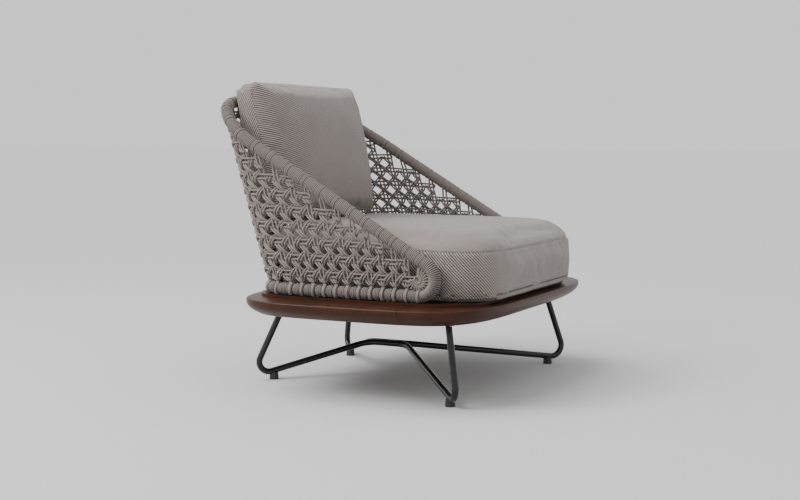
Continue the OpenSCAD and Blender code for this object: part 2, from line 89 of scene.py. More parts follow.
# ---- properties ----
class ArmchairWeave(bpy.types.PropertyGroup):
    """Sizes of the cords, the weave and the wrapping"""
    cord_r: FloatProperty(name="Cord radius", description="Radius of a weave cord", default=2.5 * MM,
                          min=1 * MM, max=4 * MM, unit="LENGTH", precision=5)
    pair_gap: FloatProperty(name="Pair spacing", description="Between the cords of an upright or level pair",
                            default=10 * MM, min=5 * MM, max=14 * MM, unit="LENGTH", precision=4)
    cross_gap: FloatProperty(name="Diagonal spacing", description="Between the two cords of a diagonal pair",
                             default=5.8 * MM, min=4 * MM, max=10 * MM, unit="LENGTH", precision=4)
    row_pitch: FloatProperty(name="Row pitch", description="Between two level pairs", default=38.5 * MM,
                             min=25 * MM, max=60 * MM, unit="LENGTH", precision=4)
    turn_pitch: FloatProperty(name="Turn pitch", description="Between two turns of a rail's wrapping",
                              default=3.9 * MM, min=2 * MM, max=8 * MM, unit="LENGTH", precision=5)
    cord_color: FloatVectorProperty(name="Cord colour", description="Colour of the cords", subtype="COLOR",
                                    default=(0.205, 0.174, 0.158), min=0, max=1)


class ArmchairWood(bpy.types.PropertyGroup):
    """Colours of the stained timber"""
    wood_color: FloatVectorProperty(name="Wood colour", description="Colour of the timber's light grain",
                                    subtype="COLOR", default=(0.052, 0.0160, 0.0058), min=0, max=1)
    grain_color: FloatVectorProperty(name="Grain colour", description="Colour of the timber's dark grain",
                                     subtype="COLOR", default=(0.024, 0.007, 0.003), min=0, max=1)


class ArmchairCushions(bpy.types.PropertyGroup):
    """Sizes and colours of the cushions"""
    rib_pitch: FloatProperty(name="Rib pitch", description="Between two ribs of the cloth", default=5.3 * MM,
                             min=2 * MM, max=10 * MM, unit="LENGTH", precision=5)
    cloth_color: FloatVectorProperty(name="Cloth colour", description="Colour of the cushions' cloth",
                                     subtype="COLOR", default=(0.250, 0.216, 0.199), min=0, max=1)
    frames: IntProperty(name="Simulated frames", description="Steps of the cloth simulation", default=20,
                        min=5, max=60)


# ---- small helpers ----
def placed(name, data):
    """A new object of this data, in the scene."""
    obj = bpy.data.objects.new(name, data)
    bpy.context.scene.collection.objects.link(obj)
    return obj


def mesh_object(name, vertices, faces, smooth=True):
    mesh = bpy.data.meshes.new(name)
    mesh.from_pydata([tuple(v) for v in vertices], [], faces)
    mesh.validate()
    mesh.polygons.foreach_set("use_smooth", [smooth] * len(mesh.polygons))
    return placed(name, mesh)


def stacked(name, rows):
    """A closed mesh of outlines with equally many points, listed from the bottom up."""
    m = len(rows[0])
    faces = [(i * m + j, i * m + (j + 1) % m, (i + 1) * m + (j + 1) % m, (i + 1) * m + j)
             for i in range(len(rows) - 1) for j in range(m)]
    faces += [tuple(range(m - 1, -1, -1)), tuple(range((len(rows) - 1) * m, len(rows) * m))]
    return mesh_object(name, [p for row in rows for p in row], faces)


def finish_piece(obj, body, node):
    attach(obj, body)
    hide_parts(node)


def joined(name, objects):
    """One object of several plain meshes, with their materials."""
    bm = bmesh.new()
    materials = []
    for obj in objects:
        first = len(bm.faces)
        bm.from_mesh(obj.data)
        bm.faces.ensure_lookup_table()
        slots = []
        for m in obj.data.materials:
            if m not in materials:
                materials.append(m)
            slots.append(materials.index(m))
        for face in bm.faces[first:]:
            face.material_index = slots[face.material_index] if slots else 0
    mesh = bpy.data.meshes.new(name)
    bm.to_mesh(mesh)
    bm.free()
    for m in materials:
        mesh.materials.append(m)
    for obj in objects:
        bpy.data.objects.remove(obj)
    return placed(name, mesh)


def applied(obj):
    """The evaluated object as a plain mesh, with its modifiers gone."""
    name = obj.name
    mesh = bpy.data.meshes.new_from_object(obj.evaluated_get(bpy.context.evaluated_depsgraph_get()))
    bpy.data.objects.remove(obj)
    mesh.name = name
    return placed(name, mesh)


def modified(obj, kind, **settings):
    """The obj as a plain mesh, changed by one modifier."""
    modifier = obj.modifiers.new(kind.lower(), kind)
    for key, value in settings.items():
        setattr(modifier, key, value)
    return applied(obj)


def sharpen(obj, degrees):
    """Smooth shading, apart from edges sharper than this."""
    obj.data.polygons.foreach_set("use_smooth", [True] * len(obj.data.polygons))
    obj.data.set_sharp_from_angle(angle=math.radians(degrees))


def dress(mesh, finish):
    mesh.materials.clear()
    mesh.materials.append(material(finish))


def smoothstep(t):
    t = min(max(t, 0.0), 1.0)
    return t * t * (3 - 2 * t)


# ---- node helpers ----
class Nodes:
    """Places nodes in a tree and links them."""

    def __init__(self, tree):
        self.tree = tree
        self.count = 0

    def add(self, kind, **settings):
        node = self.tree.nodes.new(kind)
        node.location = (200 * (self.count % 12), -220 * (self.count // 12))
        self.count += 1
        inputs = settings.pop("inputs", {})
        for key, value in settings.items():
            setattr(node, key, value)
        for key, value in inputs.items():
            socket = node.inputs[key]
            if isinstance(value, bpy.types.NodeSocket):
                self.tree.links.new(value, socket)
            else:
                socket.default_value = value
        return node

    def math(self, operation, a, b=0.0, c=0.0):
        return self.add("ShaderNodeMath", operation=operation, inputs={0: a, 1: b, 2: c}).outputs[0]

    def link(self, a, b):
        self.tree.links.new(a, b)


def group_tree(name, kind, inputs, outputs):
    tree = bpy.data.node_groups.new(name, kind)
    for label, socket, value in inputs:
        item = tree.interface.new_socket(label, in_out="INPUT", socket_type=socket)
        if value is not None:
            item.default_value = value
    for label, socket in outputs:
        tree.interface.new_socket(label, in_out="OUTPUT", socket_type=socket)
    nodes = Nodes(tree)
    return tree, nodes, nodes.add("NodeGroupInput"), nodes.add("NodeGroupOutput")


# ---- geometry nodes: cords along curves, and rings on points ----
def swept_cord(n, path, radius, sides, caps):
    """A round cord along a curve; its lay attribute holds length and turn for the material."""
    kept = n.add("GeometryNodeCaptureAttribute")
    kept.capture_items.new("FLOAT", "Along")
    n.link(path, kept.inputs["Geometry"])
    n.link(n.add("GeometryNodeSplineParameter").outputs["Length"], kept.inputs["Along"])
    circle = n.add("GeometryNodeCurvePrimitiveCircle", inputs={"Resolution": sides, "Radius": radius})
    profile = n.add("GeometryNodeCaptureAttribute")
    profile.capture_items.new("VECTOR", "Place")
    n.link(circle.outputs["Curve"], profile.inputs["Geometry"])
    n.link(n.add("GeometryNodeInputPosition").outputs[0], profile.inputs["Place"])
    swept = n.add("GeometryNodeCurveToMesh", inputs={"Fill Caps": caps})
    n.link(kept.outputs["Geometry"], swept.inputs["Curve"])
    n.link(profile.outputs["Geometry"], swept.inputs["Profile Curve"])
    turn = n.add("ShaderNodeSeparateXYZ", inputs={0: profile.outputs["Place"]})
    lay = n.add("ShaderNodeCombineXYZ", inputs={0: kept.outputs["Along"],
                                                1: n.math("DIVIDE", turn.outputs[0], radius),
                                                2: n.math("DIVIDE", turn.outputs[1], radius)})
    stored = n.add("GeometryNodeStoreNamedAttribute", data_type="FLOAT_VECTOR", domain="POINT",
                   inputs={"Name": "lay"})
    n.link(swept.outputs["Mesh"], stored.inputs["Geometry"])
    n.link(lay.outputs[0], stored.inputs["Value"])
    smooth = n.add("GeometryNodeSetShadeSmooth")
    n.link(stored.outputs["Geometry"], smooth.inputs["Geometry"])
    return smooth.outputs["Geometry"]


def end_tree(n, geometry, source, sink):
    """Makes the instances real, gives them the tree's material and puts them out."""
    n.tree.is_modifier = True
    real = n.add("GeometryNodeRealizeInstances")
    n.link(geometry, real.inputs["Geometry"])
    dressed = n.add("GeometryNodeSetMaterial", inputs={"Material": source.outputs["Material"]})
    n.link(real.outputs["Geometry"], dressed.inputs["Geometry"])
    n.link(dressed.outputs["Geometry"], sink.inputs["Geometry"])


def cord_tree():
    """Sweeps a round cord along every curve."""
    tree, n, source, sink = group_tree(
        "cord_sweep", "GeometryNodeTree",
        [("Geometry", "NodeSocketGeometry", None), ("Radius", "NodeSocketFloat", 2 * MM),
         ("Sides", "NodeSocketInt", 8), ("Material", "NodeSocketMaterial", None)],
        [("Geometry", "NodeSocketGeometry")])
    made = source.outputs
    end_tree(n, swept_cord(n, made["Geometry"], made["Radius"], made["Sides"], True), source, sink)
    return tree


def ring_tree():
    """Puts a ring of cord on every point, square to the point's aim and scaled by its swell."""
    tree, n, source, sink = group_tree(
        "wrap_turns", "GeometryNodeTree",
        [("Geometry", "NodeSocketGeometry", None), ("Ring radius", "NodeSocketFloat", 13 * MM),
         ("Cord radius", "NodeSocketFloat", 2 * MM), ("Ring steps", "NodeSocketInt", 18),
         ("Sides", "NodeSocketInt", 6), ("Material", "NodeSocketMaterial", None)],
        [("Geometry", "NodeSocketGeometry")])
    made = source.outputs
    ring = n.add("GeometryNodeCurvePrimitiveCircle",
                 inputs={"Resolution": made["Ring steps"], "Radius": made["Ring radius"]})
    turn = swept_cord(n, ring.outputs["Curve"], made["Cord radius"], made["Sides"], False)
    aim = n.add("GeometryNodeInputNamedAttribute", data_type="FLOAT_VECTOR", inputs={"Name": "aim"})
    swell = n.add("GeometryNodeInputNamedAttribute", data_type="FLOAT", inputs={"Name": "swell"})
    turned = n.add("FunctionNodeAlignRotationToVector", axis="Z")
    n.link(aim.outputs["Attribute"], turned.inputs["Vector"])
    points = n.add("GeometryNodeMeshToPoints")
    n.link(made["Geometry"], points.inputs["Mesh"])
    turns = n.add("GeometryNodeInstanceOnPoints")
    n.link(points.outputs["Points"], turns.inputs["Points"])
    n.link(turn, turns.inputs["Instance"])
    n.link(turned.outputs["Rotation"], turns.inputs["Rotation"])
    n.link(swell.outputs["Attribute"], turns.inputs["Scale"])
    end_tree(n, turns.outputs["Instances"], source, sink)
    return tree


def with_nodes(obj, tree, **values):
    """obj made by a geometry node tree with these inputs, as a plain mesh."""
    modifier = obj.modifiers.new(tree.name, "NODES")
    modifier.node_group = tree
    for item in tree.interface.items_tree:
        key = item.name.lower().replace(" ", "_")
        if item.in_out == "INPUT" and key in values:
            modifier[item.identifier] = values[key]
    return applied(obj)


def tree_named(name, maker):
    return bpy.data.node_groups.get(name) or maker()


def cords(name, routes, radius, material, sides=8):
    """A mesh of round cords along the routes, each a list of points."""
    curve = bpy.data.curves.new(name, "CURVE")
    curve.dimensions = "3D"
    for route in routes:
        spline = curve.splines.new("POLY")
        spline.points.add(len(route) - 1)
        spline.points.foreach_set("co", [x for p in route for x in (*p, 1.0)])
    return with_nodes(placed(name, curve), tree_named("cord_sweep", cord_tree), radius=radius, sides=sides,
                      material=material)


def rings(name, spots, ring_r, cord_r, material, steps=18, sides=6):
    """A mesh of cord rings on spots, each (centre, aim, swell)."""
    obj = mesh_object(name, [s[0] for s in spots], [])
    aim = obj.data.attributes.new("aim", "FLOAT_VECTOR", "POINT")
    aim.data.foreach_set("vector", [x for s in spots for x in s[1]])
    swell = obj.data.attributes.new("swell", "FLOAT", "POINT")
    swell.data.foreach_set("value", [s[2] for s in spots])
    return with_nodes(obj, tree_named("wrap_turns", ring_tree), ring_radius=ring_r, cord_radius=cord_r,
                      ring_steps=steps, sides=sides, material=material)


# ---- shader groups ----
def speckle(n, scale, detail=2.0, roughness=0.5):
    """Noise on the piece's own place, from 0 to 1."""
    place = n.add("ShaderNodeTexCoord").outputs["Object"]
    return n.add("ShaderNodeTexNoise", inputs={"Vector": place, "Scale": scale, "Detail": detail,
                                               "Roughness": roughness}).outputs["Fac"]


def cord_weave_group():
    """Braided strands on a cord, from its lay attribute: a height, and a shade with painted shade and highlight.
    """
    tree, n, source, sink = group_tree(
        "braid", "ShaderNodeTree", [("Pitch", "NodeSocketFloat", 3 * MM), ("Groove", "NodeSocketFloat", 0.0)],
        [("Height", "NodeSocketFloat"), ("Shade", "NodeSocketFloat")])
    lay = n.add("ShaderNodeAttribute", attribute_name="lay").outputs["Vector"]
    parts = n.add("ShaderNodeSeparateXYZ", inputs={0: lay})
    turns = n.math("DIVIDE", n.math("MULTIPLY", parts.outputs[0], math.tau), source.outputs["Pitch"])
    angle = n.math("ARCTAN2", parts.outputs[2], parts.outputs[1])
    strands = n.math("MULTIPLY", angle, 2.0)
    right = n.math("SINE", n.math("ADD", turns, strands))
    left = n.math("SINE", n.math("SUBTRACT", turns, strands))
    crossed = n.math("MULTIPLY", right, left)
    height = n.math("MULTIPLY_ADD", crossed, 0.5, 0.5)
    n.link(height, sink.inputs["Height"])
    # painted shade and highlight: strand hollows darker and crests lighter, mixed with random speckle
    mixed = n.math("MULTIPLY_ADD", height, 0.45, n.math("MULTIPLY", speckle(n, 900.0, 3.0, 0.7), 0.55))
    # painted shade: darkens the sides of each turn that face the next turns, where wrapped turns press together
    groove_shade = n.add("ShaderNodeMapRange", interpolation_type="SMOOTHSTEP",
                   inputs={"Value": n.math("ABSOLUTE", parts.outputs[2]), "From Min": 0.55, "From Max": 1.0,
                           "To Min": 0.0, "To Max": source.outputs["Groove"]})
    n.link(n.math("SUBTRACT", mixed, groove_shade.outputs[0]), sink.inputs["Shade"])
    return tree


def grain_group():
    """Straight timber grain along X: a shade, a fine pore mask and a height."""
    tree, n, source, sink = group_tree(
        "straight_grain", "ShaderNodeTree", [("Vector", "NodeSocketVector", None)],
        [("Shade", "NodeSocketFloat"), ("Pores", "NodeSocketFloat"), ("Height", "NodeSocketFloat")])
    wide = n.add("ShaderNodeMapping", inputs={0: source.outputs["Vector"], "Scale": (1.2, 26.0, 26.0)})
    bands = n.add("ShaderNodeTexNoise", inputs={0: wide.outputs[0], "Scale": 1.0, "Detail": 5.0,
                                                "Roughness": 0.55, "Distortion": 0.6})
    fine = n.add("ShaderNodeMapping", inputs={0: source.outputs["Vector"], "Scale": (14.0, 420.0, 420.0)})
    streaks = n.add("ShaderNodeTexNoise", inputs={0: fine.outputs[0], "Scale": 1.0, "Detail": 3.0})
    shade = n.math("MULTIPLY_ADD", bands.outputs["Fac"], 0.7,
                   n.math("MULTIPLY", streaks.outputs["Fac"], 0.3))
    n.link(shade, sink.inputs["Shade"])
    pores = n.add("ShaderNodeMapRange", inputs={"Value": streaks.outputs["Fac"], "From Min": 0.34,
                                                "From Max": 0.46, "To Min": 1.0, "To Max": 0.0})
    n.link(pores.outputs[0], sink.inputs["Pores"])
    n.link(n.math("MULTIPLY_ADD", pores.outputs[0], -0.6, shade), sink.inputs["Height"])
    return tree


THREAD_PITCH = 1.4 * MM


def rib_group():
    """Woven cloth with diagonal ribs, from the cushion's own cloth map: a height and a painted rib shade."""
    tree, n, source, sink = group_tree(
        "ribbed_cloth", "ShaderNodeTree",
        [("Rib pitch", "NodeSocketFloat", 4 * MM)],
        [("Height", "NodeSocketFloat"), ("Shade", "NodeSocketFloat")])
    cloth = n.add("ShaderNodeAttribute", attribute_name="cloth").outputs["Vector"]
    parts = n.add("ShaderNodeSeparateXYZ", inputs={0: cloth})
    phase = n.math("DIVIDE", n.math("MULTIPLY", parts.outputs[0], math.tau), source.outputs["Rib pitch"])
    rib = n.math("MULTIPLY_ADD", n.math("SINE", phase), 0.5, 0.5)
    ribbed = n.math("MULTIPLY_ADD", n.math("SUBTRACT", rib, 0.5), parts.outputs[2], 0.5)
    across, down = (n.math("SINE", n.math("MULTIPLY", parts.outputs[k], math.tau / THREAD_PITCH))
                    for k in (0, 1))
    threads = n.math("MULTIPLY", across, down)
    fuzz = speckle(n, 700.0, 4.0, 0.75)
    height = n.math("MULTIPLY_ADD", threads, 0.12, ribbed)
    n.link(n.math("MULTIPLY_ADD", fuzz, 0.3, height), sink.inputs["Height"])
    # painted shade: rib grooves darker and crests lighter, as strong as the cloth map's third value, mixed with
    # random fuzz
    shade = n.math("MULTIPLY_ADD", ribbed, 0.55, n.math("MULTIPLY", fuzz, 0.30))
    n.link(n.math("MULTIPLY_ADD", speckle(n, 14.0, 3.0), 0.10, shade), sink.inputs["Shade"])
    return tree


def shader_group(n, name, maker, inputs):
    return n.add("ShaderNodeGroup", node_tree=tree_named(name, maker), inputs=inputs)


# ---- materials ----
def new_material(name, **constants):
    """A material with one Principled shader: (material, nodes, shader)."""
    material = bpy.data.materials.new(name)
    material.use_nodes = True
    material.node_tree.nodes.clear()
    n = Nodes(material.node_tree)
    shader = n.add("ShaderNodeBsdfPrincipled")
    for key, value in constants.items():
        shader.inputs[key.replace("_", " ")].default_value = value
    out = n.add("ShaderNodeOutputMaterial")
    n.link(shader.outputs[0], out.inputs["Surface"])
    return material, n, shader


def feed(n, shader, **sockets):
    """Links what changes over the surface to the shader's sockets."""
    for key, value in sockets.items():
        n.link(value, shader.inputs[key.replace("_", " ")])


def ramp(n, value, stops):
    node = n.add("ShaderNodeValToRGB", inputs={"Fac": value})
    elements = node.color_ramp.elements
    while len(elements) < len(stops):
        elements.new(0.5)
    for element, (place, color) in zip(elements, stops):
        element.position = place
        element.color = (*color, 1.0)
    return node.outputs["Color"]


def bump(n, height, strength, distance):
    return n.add("ShaderNodeBump", inputs={"Height": height, "Strength": strength,
                                           "Distance": distance}).outputs["Normal"]


def scaled(color, share):
    return tuple(min(1.0, c * share) for c in color)


def cord_material(name="braided_cord", groove_shade=0.0):
    color = bpy.context.scene.armchair_weave.cord_color
    material, n, shader = new_material(name, Roughness=0.82, Sheen_Weight=0.25, Sheen_Roughness=0.5,
                                       Specular_IOR_Level=0.25)
    braid = shader_group(n, "braid", cord_weave_group, {"Pitch": 4.4 * MM, "Groove": groove_shade})
    # the ramp turns the painted strand shade and highlight into colour, from dark hollows to light crests
    shades = [(0.0, scaled(color, 0.12)), (0.3, scaled(color, 0.55)), (0.5, tuple(color)),
              (0.75, scaled(color, 1.5))]
    feed(n, shader, Base_Color=ramp(n, braid.outputs["Shade"], shades),
         Normal=bump(n, braid.outputs["Height"], 0.6, 0.5 * MM))
    return material


def wrapped_cord_material():
    # the braided cord, with painted shade in the grooves between wrapped turns
    return cord_material("wrapped_cord", 0.75)


def wood_material():
    wood = bpy.context.scene.armchair_wood
    material, n, shader = new_material("stained_timber", Coat_Weight=0.06, Coat_Roughness=0.3,
                                       Specular_IOR_Level=0.17)
    place = n.add("ShaderNodeTexCoord").outputs["Object"]
    grain = shader_group(n, "straight_grain", grain_group, {"Vector": place})
    color = ramp(n, grain.outputs["Shade"], [(0.30, tuple(wood.grain_color)),
                                             (0.52, scaled(wood.wood_color, 0.8)),
                                             (0.74, tuple(wood.wood_color))])
    pores = ramp(n, grain.outputs["Pores"], [(0.0, (1, 1, 1)), (1.0, (0.62, 0.56, 0.54))])
    dark = n.add("ShaderNodeMix", data_type="RGBA", blend_type="MULTIPLY", inputs={0: 1.0, 6: color, 7: pores})
    feed(n, shader, Base_Color=dark.outputs[2],
         Roughness=n.math("MULTIPLY_ADD", grain.outputs["Shade"], 0.16, 0.30),
         Normal=bump(n, grain.outputs["Height"], 0.25, 0.25 * MM))
    return material


def steel_material():
    material, n, shader = new_material("black_coated_steel", Coat_Weight=0.3, Coat_Roughness=0.07,
                                       Specular_IOR_Level=0.25)
    wear = speckle(n, 9.0, 4.0)
    feed(n, shader, Base_Color=ramp(n, wear, [(0.3, (0.006, 0.006, 0.007)), (0.7, (0.013, 0.013, 0.014))]),
         Roughness=n.math("MULTIPLY_ADD", wear, 0.12, 0.22),
         Normal=bump(n, speckle(n, 420.0), 0.12, 0.15 * MM))
    return material


def glide_material():
    material, n, shader = new_material("moulded_glide", Specular_IOR_Level=0.35)
    spark = speckle(n, 1400.0)
    feed(n, shader, Base_Color=ramp(n, spark, [(0.3, (0.018, 0.018, 0.019)), (0.7, (0.034, 0.034, 0.036))]),
         Roughness=n.math("MULTIPLY_ADD", spark, 0.2, 0.45), Normal=bump(n, spark, 0.3, 0.1 * MM))
    return material


def zinc_material():
    material, n, shader = new_material("zinc_plate", Metallic=1.0)
    cloud = speckle(n, 260.0, 4.0)
    feed(n, shader, Base_Color=ramp(n, cloud, [(0.3, (0.42, 0.42, 0.43)), (0.7, (0.62, 0.62, 0.62))]),
         Roughness=n.math("MULTIPLY_ADD", cloud, 0.25, 0.25))
    return material


def foam_material():
    material, n, shader = new_material("open_cell_foam", Roughness=0.95)
    place = n.add("ShaderNodeTexCoord").outputs["Object"]
    cells = n.add("ShaderNodeTexVoronoi", inputs={"Vector": place, "Scale": 700.0}).outputs["Distance"]
    feed(n, shader, Base_Color=ramp(n, cells, [(0.0, (0.55, 0.50, 0.34)), (0.6, (0.86, 0.82, 0.66))]),
         Normal=bump(n, cells, 0.8, 0.5 * MM))
    return material


def cloth_material():
    cushions = bpy.context.scene.armchair_cushions
    color = cushions.cloth_color
    material, n, shader = new_material("ribbed_cloth", Roughness=0.9, Sheen_Weight=0.3, Sheen_Roughness=0.45,
                                       Specular_IOR_Level=0.2)
    ribs = shader_group(n, "ribbed_cloth", rib_group, {"Rib pitch": cushions.rib_pitch})
    # the dark end of the ramp is steeper, so strong painted rib shade also darkens the cloth overall
    shades = [(0.20, scaled(color, 0.25)), (0.47, scaled(color, 0.92)), (0.75, scaled(color, 1.55))]
    feed(n, shader, Base_Color=ramp(n, ribs.outputs["Shade"], shades),
         Normal=bump(n, ribs.outputs["Height"], 0.9, 1.1 * MM))
    return material


MAKERS = {"braided_cord": cord_material, "wrapped_cord": wrapped_cord_material,
          "stained_timber": wood_material, "black_coated_steel": steel_material,
          "moulded_glide": glide_material, "zinc_plate": zinc_material,
          "open_cell_foam": foam_material, "ribbed_cloth": cloth_material}


def material(name):
    return bpy.data.materials.get(name) or MAKERS[name]()


# ---- the shell's surface and its rails ----
SIDE_CELLS, CORNER_CELLS, BACK_CELLS = 11, 4, 14       # cells along a side, round a corner, across the back
CORNER_COLUMN = SIDE_CELLS
BACK_COLUMN = SIDE_CELLS + CORNER_CELLS
ALL_COLUMNS = 2 * BACK_COLUMN + BACK_CELLS
SIDE_START_Y = -0.212                # the first upright pair's place on the base rail
FIRST_ROW_Z = 0.294
WEAVE_OUT = 2.5 * MM                 # the weave stands this far outside the rails' middle
CORNER_DEPTH = CORNER_R / math.cos(LEAN)
SIDE_LEN = FOOT_Y - CORNER_DEPTH - SIDE_START_Y
ROW_TILT = 0.95                      # how much the rows of a side drop towards the front


def left_point(u, z0):
    """Point of the left half of the shell at column u and row height z0, with its outward normal."""
    rise = z0 - BASE_Z
    if u <= CORNER_COLUMN:
        forward = (CORNER_COLUMN - u) * (SIDE_LEN + rise * math.tan(LEAN)) / SIDE_CELLS
        z = z0 - ROW_TILT * rise * abs(rise) * forward
        t = u / SIDE_CELLS
        y = SIDE_START_Y + SIDE_LEN * t + (z - BASE_Z) * math.tan(LEAN) * t
        return Vector((-RAIL_X, y, z)), Vector((-1, 0, 0))
    back_y = FOOT_Y + rise * math.tan(LEAN)
    lean_normal = Vector((0, math.cos(LEAN), -math.sin(LEAN)))
    if u <= BACK_COLUMN:
        a = (u - CORNER_COLUMN) / CORNER_CELLS * math.pi / 2
        centre_x = -RAIL_X + CORNER_R
        place = Vector((centre_x - CORNER_R * math.cos(a), back_y - CORNER_DEPTH * (1 - math.sin(a)), z0))
        normal = Vector((-math.cos(a), 0, 0)) + lean_normal * math.sin(a)
        return place, normal.normalized()
    x = (-RAIL_X + CORNER_R) + (u - BACK_COLUMN) / BACK_CELLS * 2 * (RAIL_X - CORNER_R)
    return Vector((x, back_y, z0)), lean_normal


def shell_point(u, z0, out=0.0):
    """Point of the shell at column u, from the left front round the back to the right front."""
    if u <= ALL_COLUMNS / 2:
        place, normal = left_point(u, z0)
    else:
        place, normal = left_point(ALL_COLUMNS - u, z0)
        place = Vector((-place.x, place.y, place.z))
        normal = Vector((-normal.x, normal.y, normal.z))
    return place + normal * (out + WEAVE_OUT)


def on_shell(s, h):
    """Point at s along and h up the leaning surface, on the left."""
    turned = max(0.0, min(s + CORNER_R, CORNER_R * math.pi / 2)) / CORNER_R
    beyond = max(0.0, s + CORNER_R - CORNER_R * math.pi / 2)
    v = s if s < -CORNER_R else -CORNER_R + CORNER_R * math.sin(turned)
    x = -RAIL_X + CORNER_R * (1 - math.cos(turned)) + beyond
    return Vector((x, FOOT_Y + v * math.cos(LEAN) + h * math.sin(LEAN),
                   BASE_Z - v * math.sin(LEAN) + h * math.cos(LEAN)))


def surface_place(y, z):
    c, s = math.cos(LEAN), math.sin(LEAN)
    return Vector(((y - FOOT_Y) * c - (z - BASE_Z) * s, (y - FOOT_Y) * s + (z - BASE_Z) * c))


def rounded(points, radii, step=0.004):
    """The points as a path with round corners of these radii."""
    path = [points[0].copy()]
    for a, b, c, r in zip(points, points[1:], points[2:], radii):
        u, v = (a - b).normalized(), (c - b).normalized()
        half = u.angle(v) / 2
        start = b + u * (r / math.tan(half))
        centre = b + (u + v).normalized() * (r / math.sin(half))
        turn = math.pi - 2 * half
        count = max(3, int(r * turn / step))
        for i in range(count + 1):
            t = turn * i / count
            path.append(centre + (start - centre) * math.cos(t) - u * (r * math.sin(t)))
    path.append(points[-1].copy())
    return path


def lengths_along(path):
    """Length from the start of the path to each of its points."""
    lengths = [0.0]
    for a, b in zip(path, path[1:]):
        lengths.append(lengths[-1] + (b - a).length)
    return lengths


def even(path, step):
    """The path with points an equal distance apart."""
    lengths = lengths_along(path)
    count = max(2, round(lengths[-1] / step))
    out, k = [], 0
    for i in range(count + 1):
        want = lengths[-1] * i / count
        while k < len(path) - 2 and lengths[k + 1] < want:
            k += 1
        span = lengths[k + 1] - lengths[k]
        out.append(path[k].lerp(path[k + 1], (want - lengths[k]) / span if span else 0.0))
    return out


def arm_path():
    """The left arm rail's centreline, from the base rail round the front and up to the back rail."""
    back_h = (BACK_RAIL_Z - BASE_Z) / math.cos(LEAN)
    slope = math.tan(ARM_SLOPE)
    front_y = ARM_LINE[0] + (BASE_Z - ARM_LINE[1]) / slope
    ref = surface_place(*ARM_LINE)
    crest_s = ref.x + (back_h - ref.y) / math.tan(ARM_SLOPE + LEAN)
    corner_arc = CORNER_R * math.pi / 2
    route = rounded([surface_place(ARM_END_Y, BASE_Z), surface_place(front_y, BASE_Z),
                     Vector((crest_s, back_h)), Vector((corner_arc - CORNER_R + 0.04, back_h))],
                    [FRONT_BEND_R, CREST_BEND_R])
    return [on_shell(p.x, p.y) for p in even(route, 0.004)]


def base_path():
    """The left base rail's centreline, from the arm's end back round the corner to the rear rail."""
    corner = Vector((-RAIL_X, FOOT_Y, BASE_Z))
    return rounded([Vector((-RAIL_X, ARM_END_Y, BASE_Z)), corner, Vector((-RAIL_X + CORNER_R, FOOT_Y, BASE_Z))],
                   [CORNER_R])


def mirrored(path):
    return [Vector((-p.x, p.y, p.z)) for p in path]


def rail_above(u):
    """Row height at which column u of the left half meets the arm or back rail."""
    if u >= BACK_COLUMN:
        return BACK_RAIL_Z
    rail = np.array(ARM_PATH)
    steps = 220
    heights = [BASE_Z + 0.03 + (BACK_RAIL_Z - 0.02 - BASE_Z) * i / steps for i in range(steps)]
    gaps = [np.linalg.norm(rail - np.array(left_point(u, z0)[0]), axis=1).min() for z0 in heights]
    return heights[int(np.argmin(gaps))]


ARM_PATH = arm_path()
RAIL_HEIGHTS = [rail_above(i) for i in range(ALL_COLUMNS // 2 + 1)]
RAIL_HEIGHTS += RAIL_HEIGHTS[:ALL_COLUMNS // 2][::-1]


# ---- weave routes ----
RELIEF = 2.2 * MM                    # how far an upright or level cord swings out and in
DIAGONAL_RELIEF = 4.2 * MM
STEP = 0.17                          # route points are this share of a cell apart
UPRIGHT_START = 17 * MM              # an upright leaves its tie this far above the base rail's middle
TIED_SPREAD = 0.42                   # an upright pair closes to this share of its spacing at a rail
DIAGONAL_ROOM, LEVEL_ROOM = 0.42, 0.62   # share of a row's pitch that must be free under the rail
LEVEL_PAST, LEVEL_TURN = 0.10, 0.13  # a level pair runs this far past its last upright, then turns back


def fade(value, start, end):
    """0 at start, 1 at end."""
    return smoothstep((value - start) / (end - start))


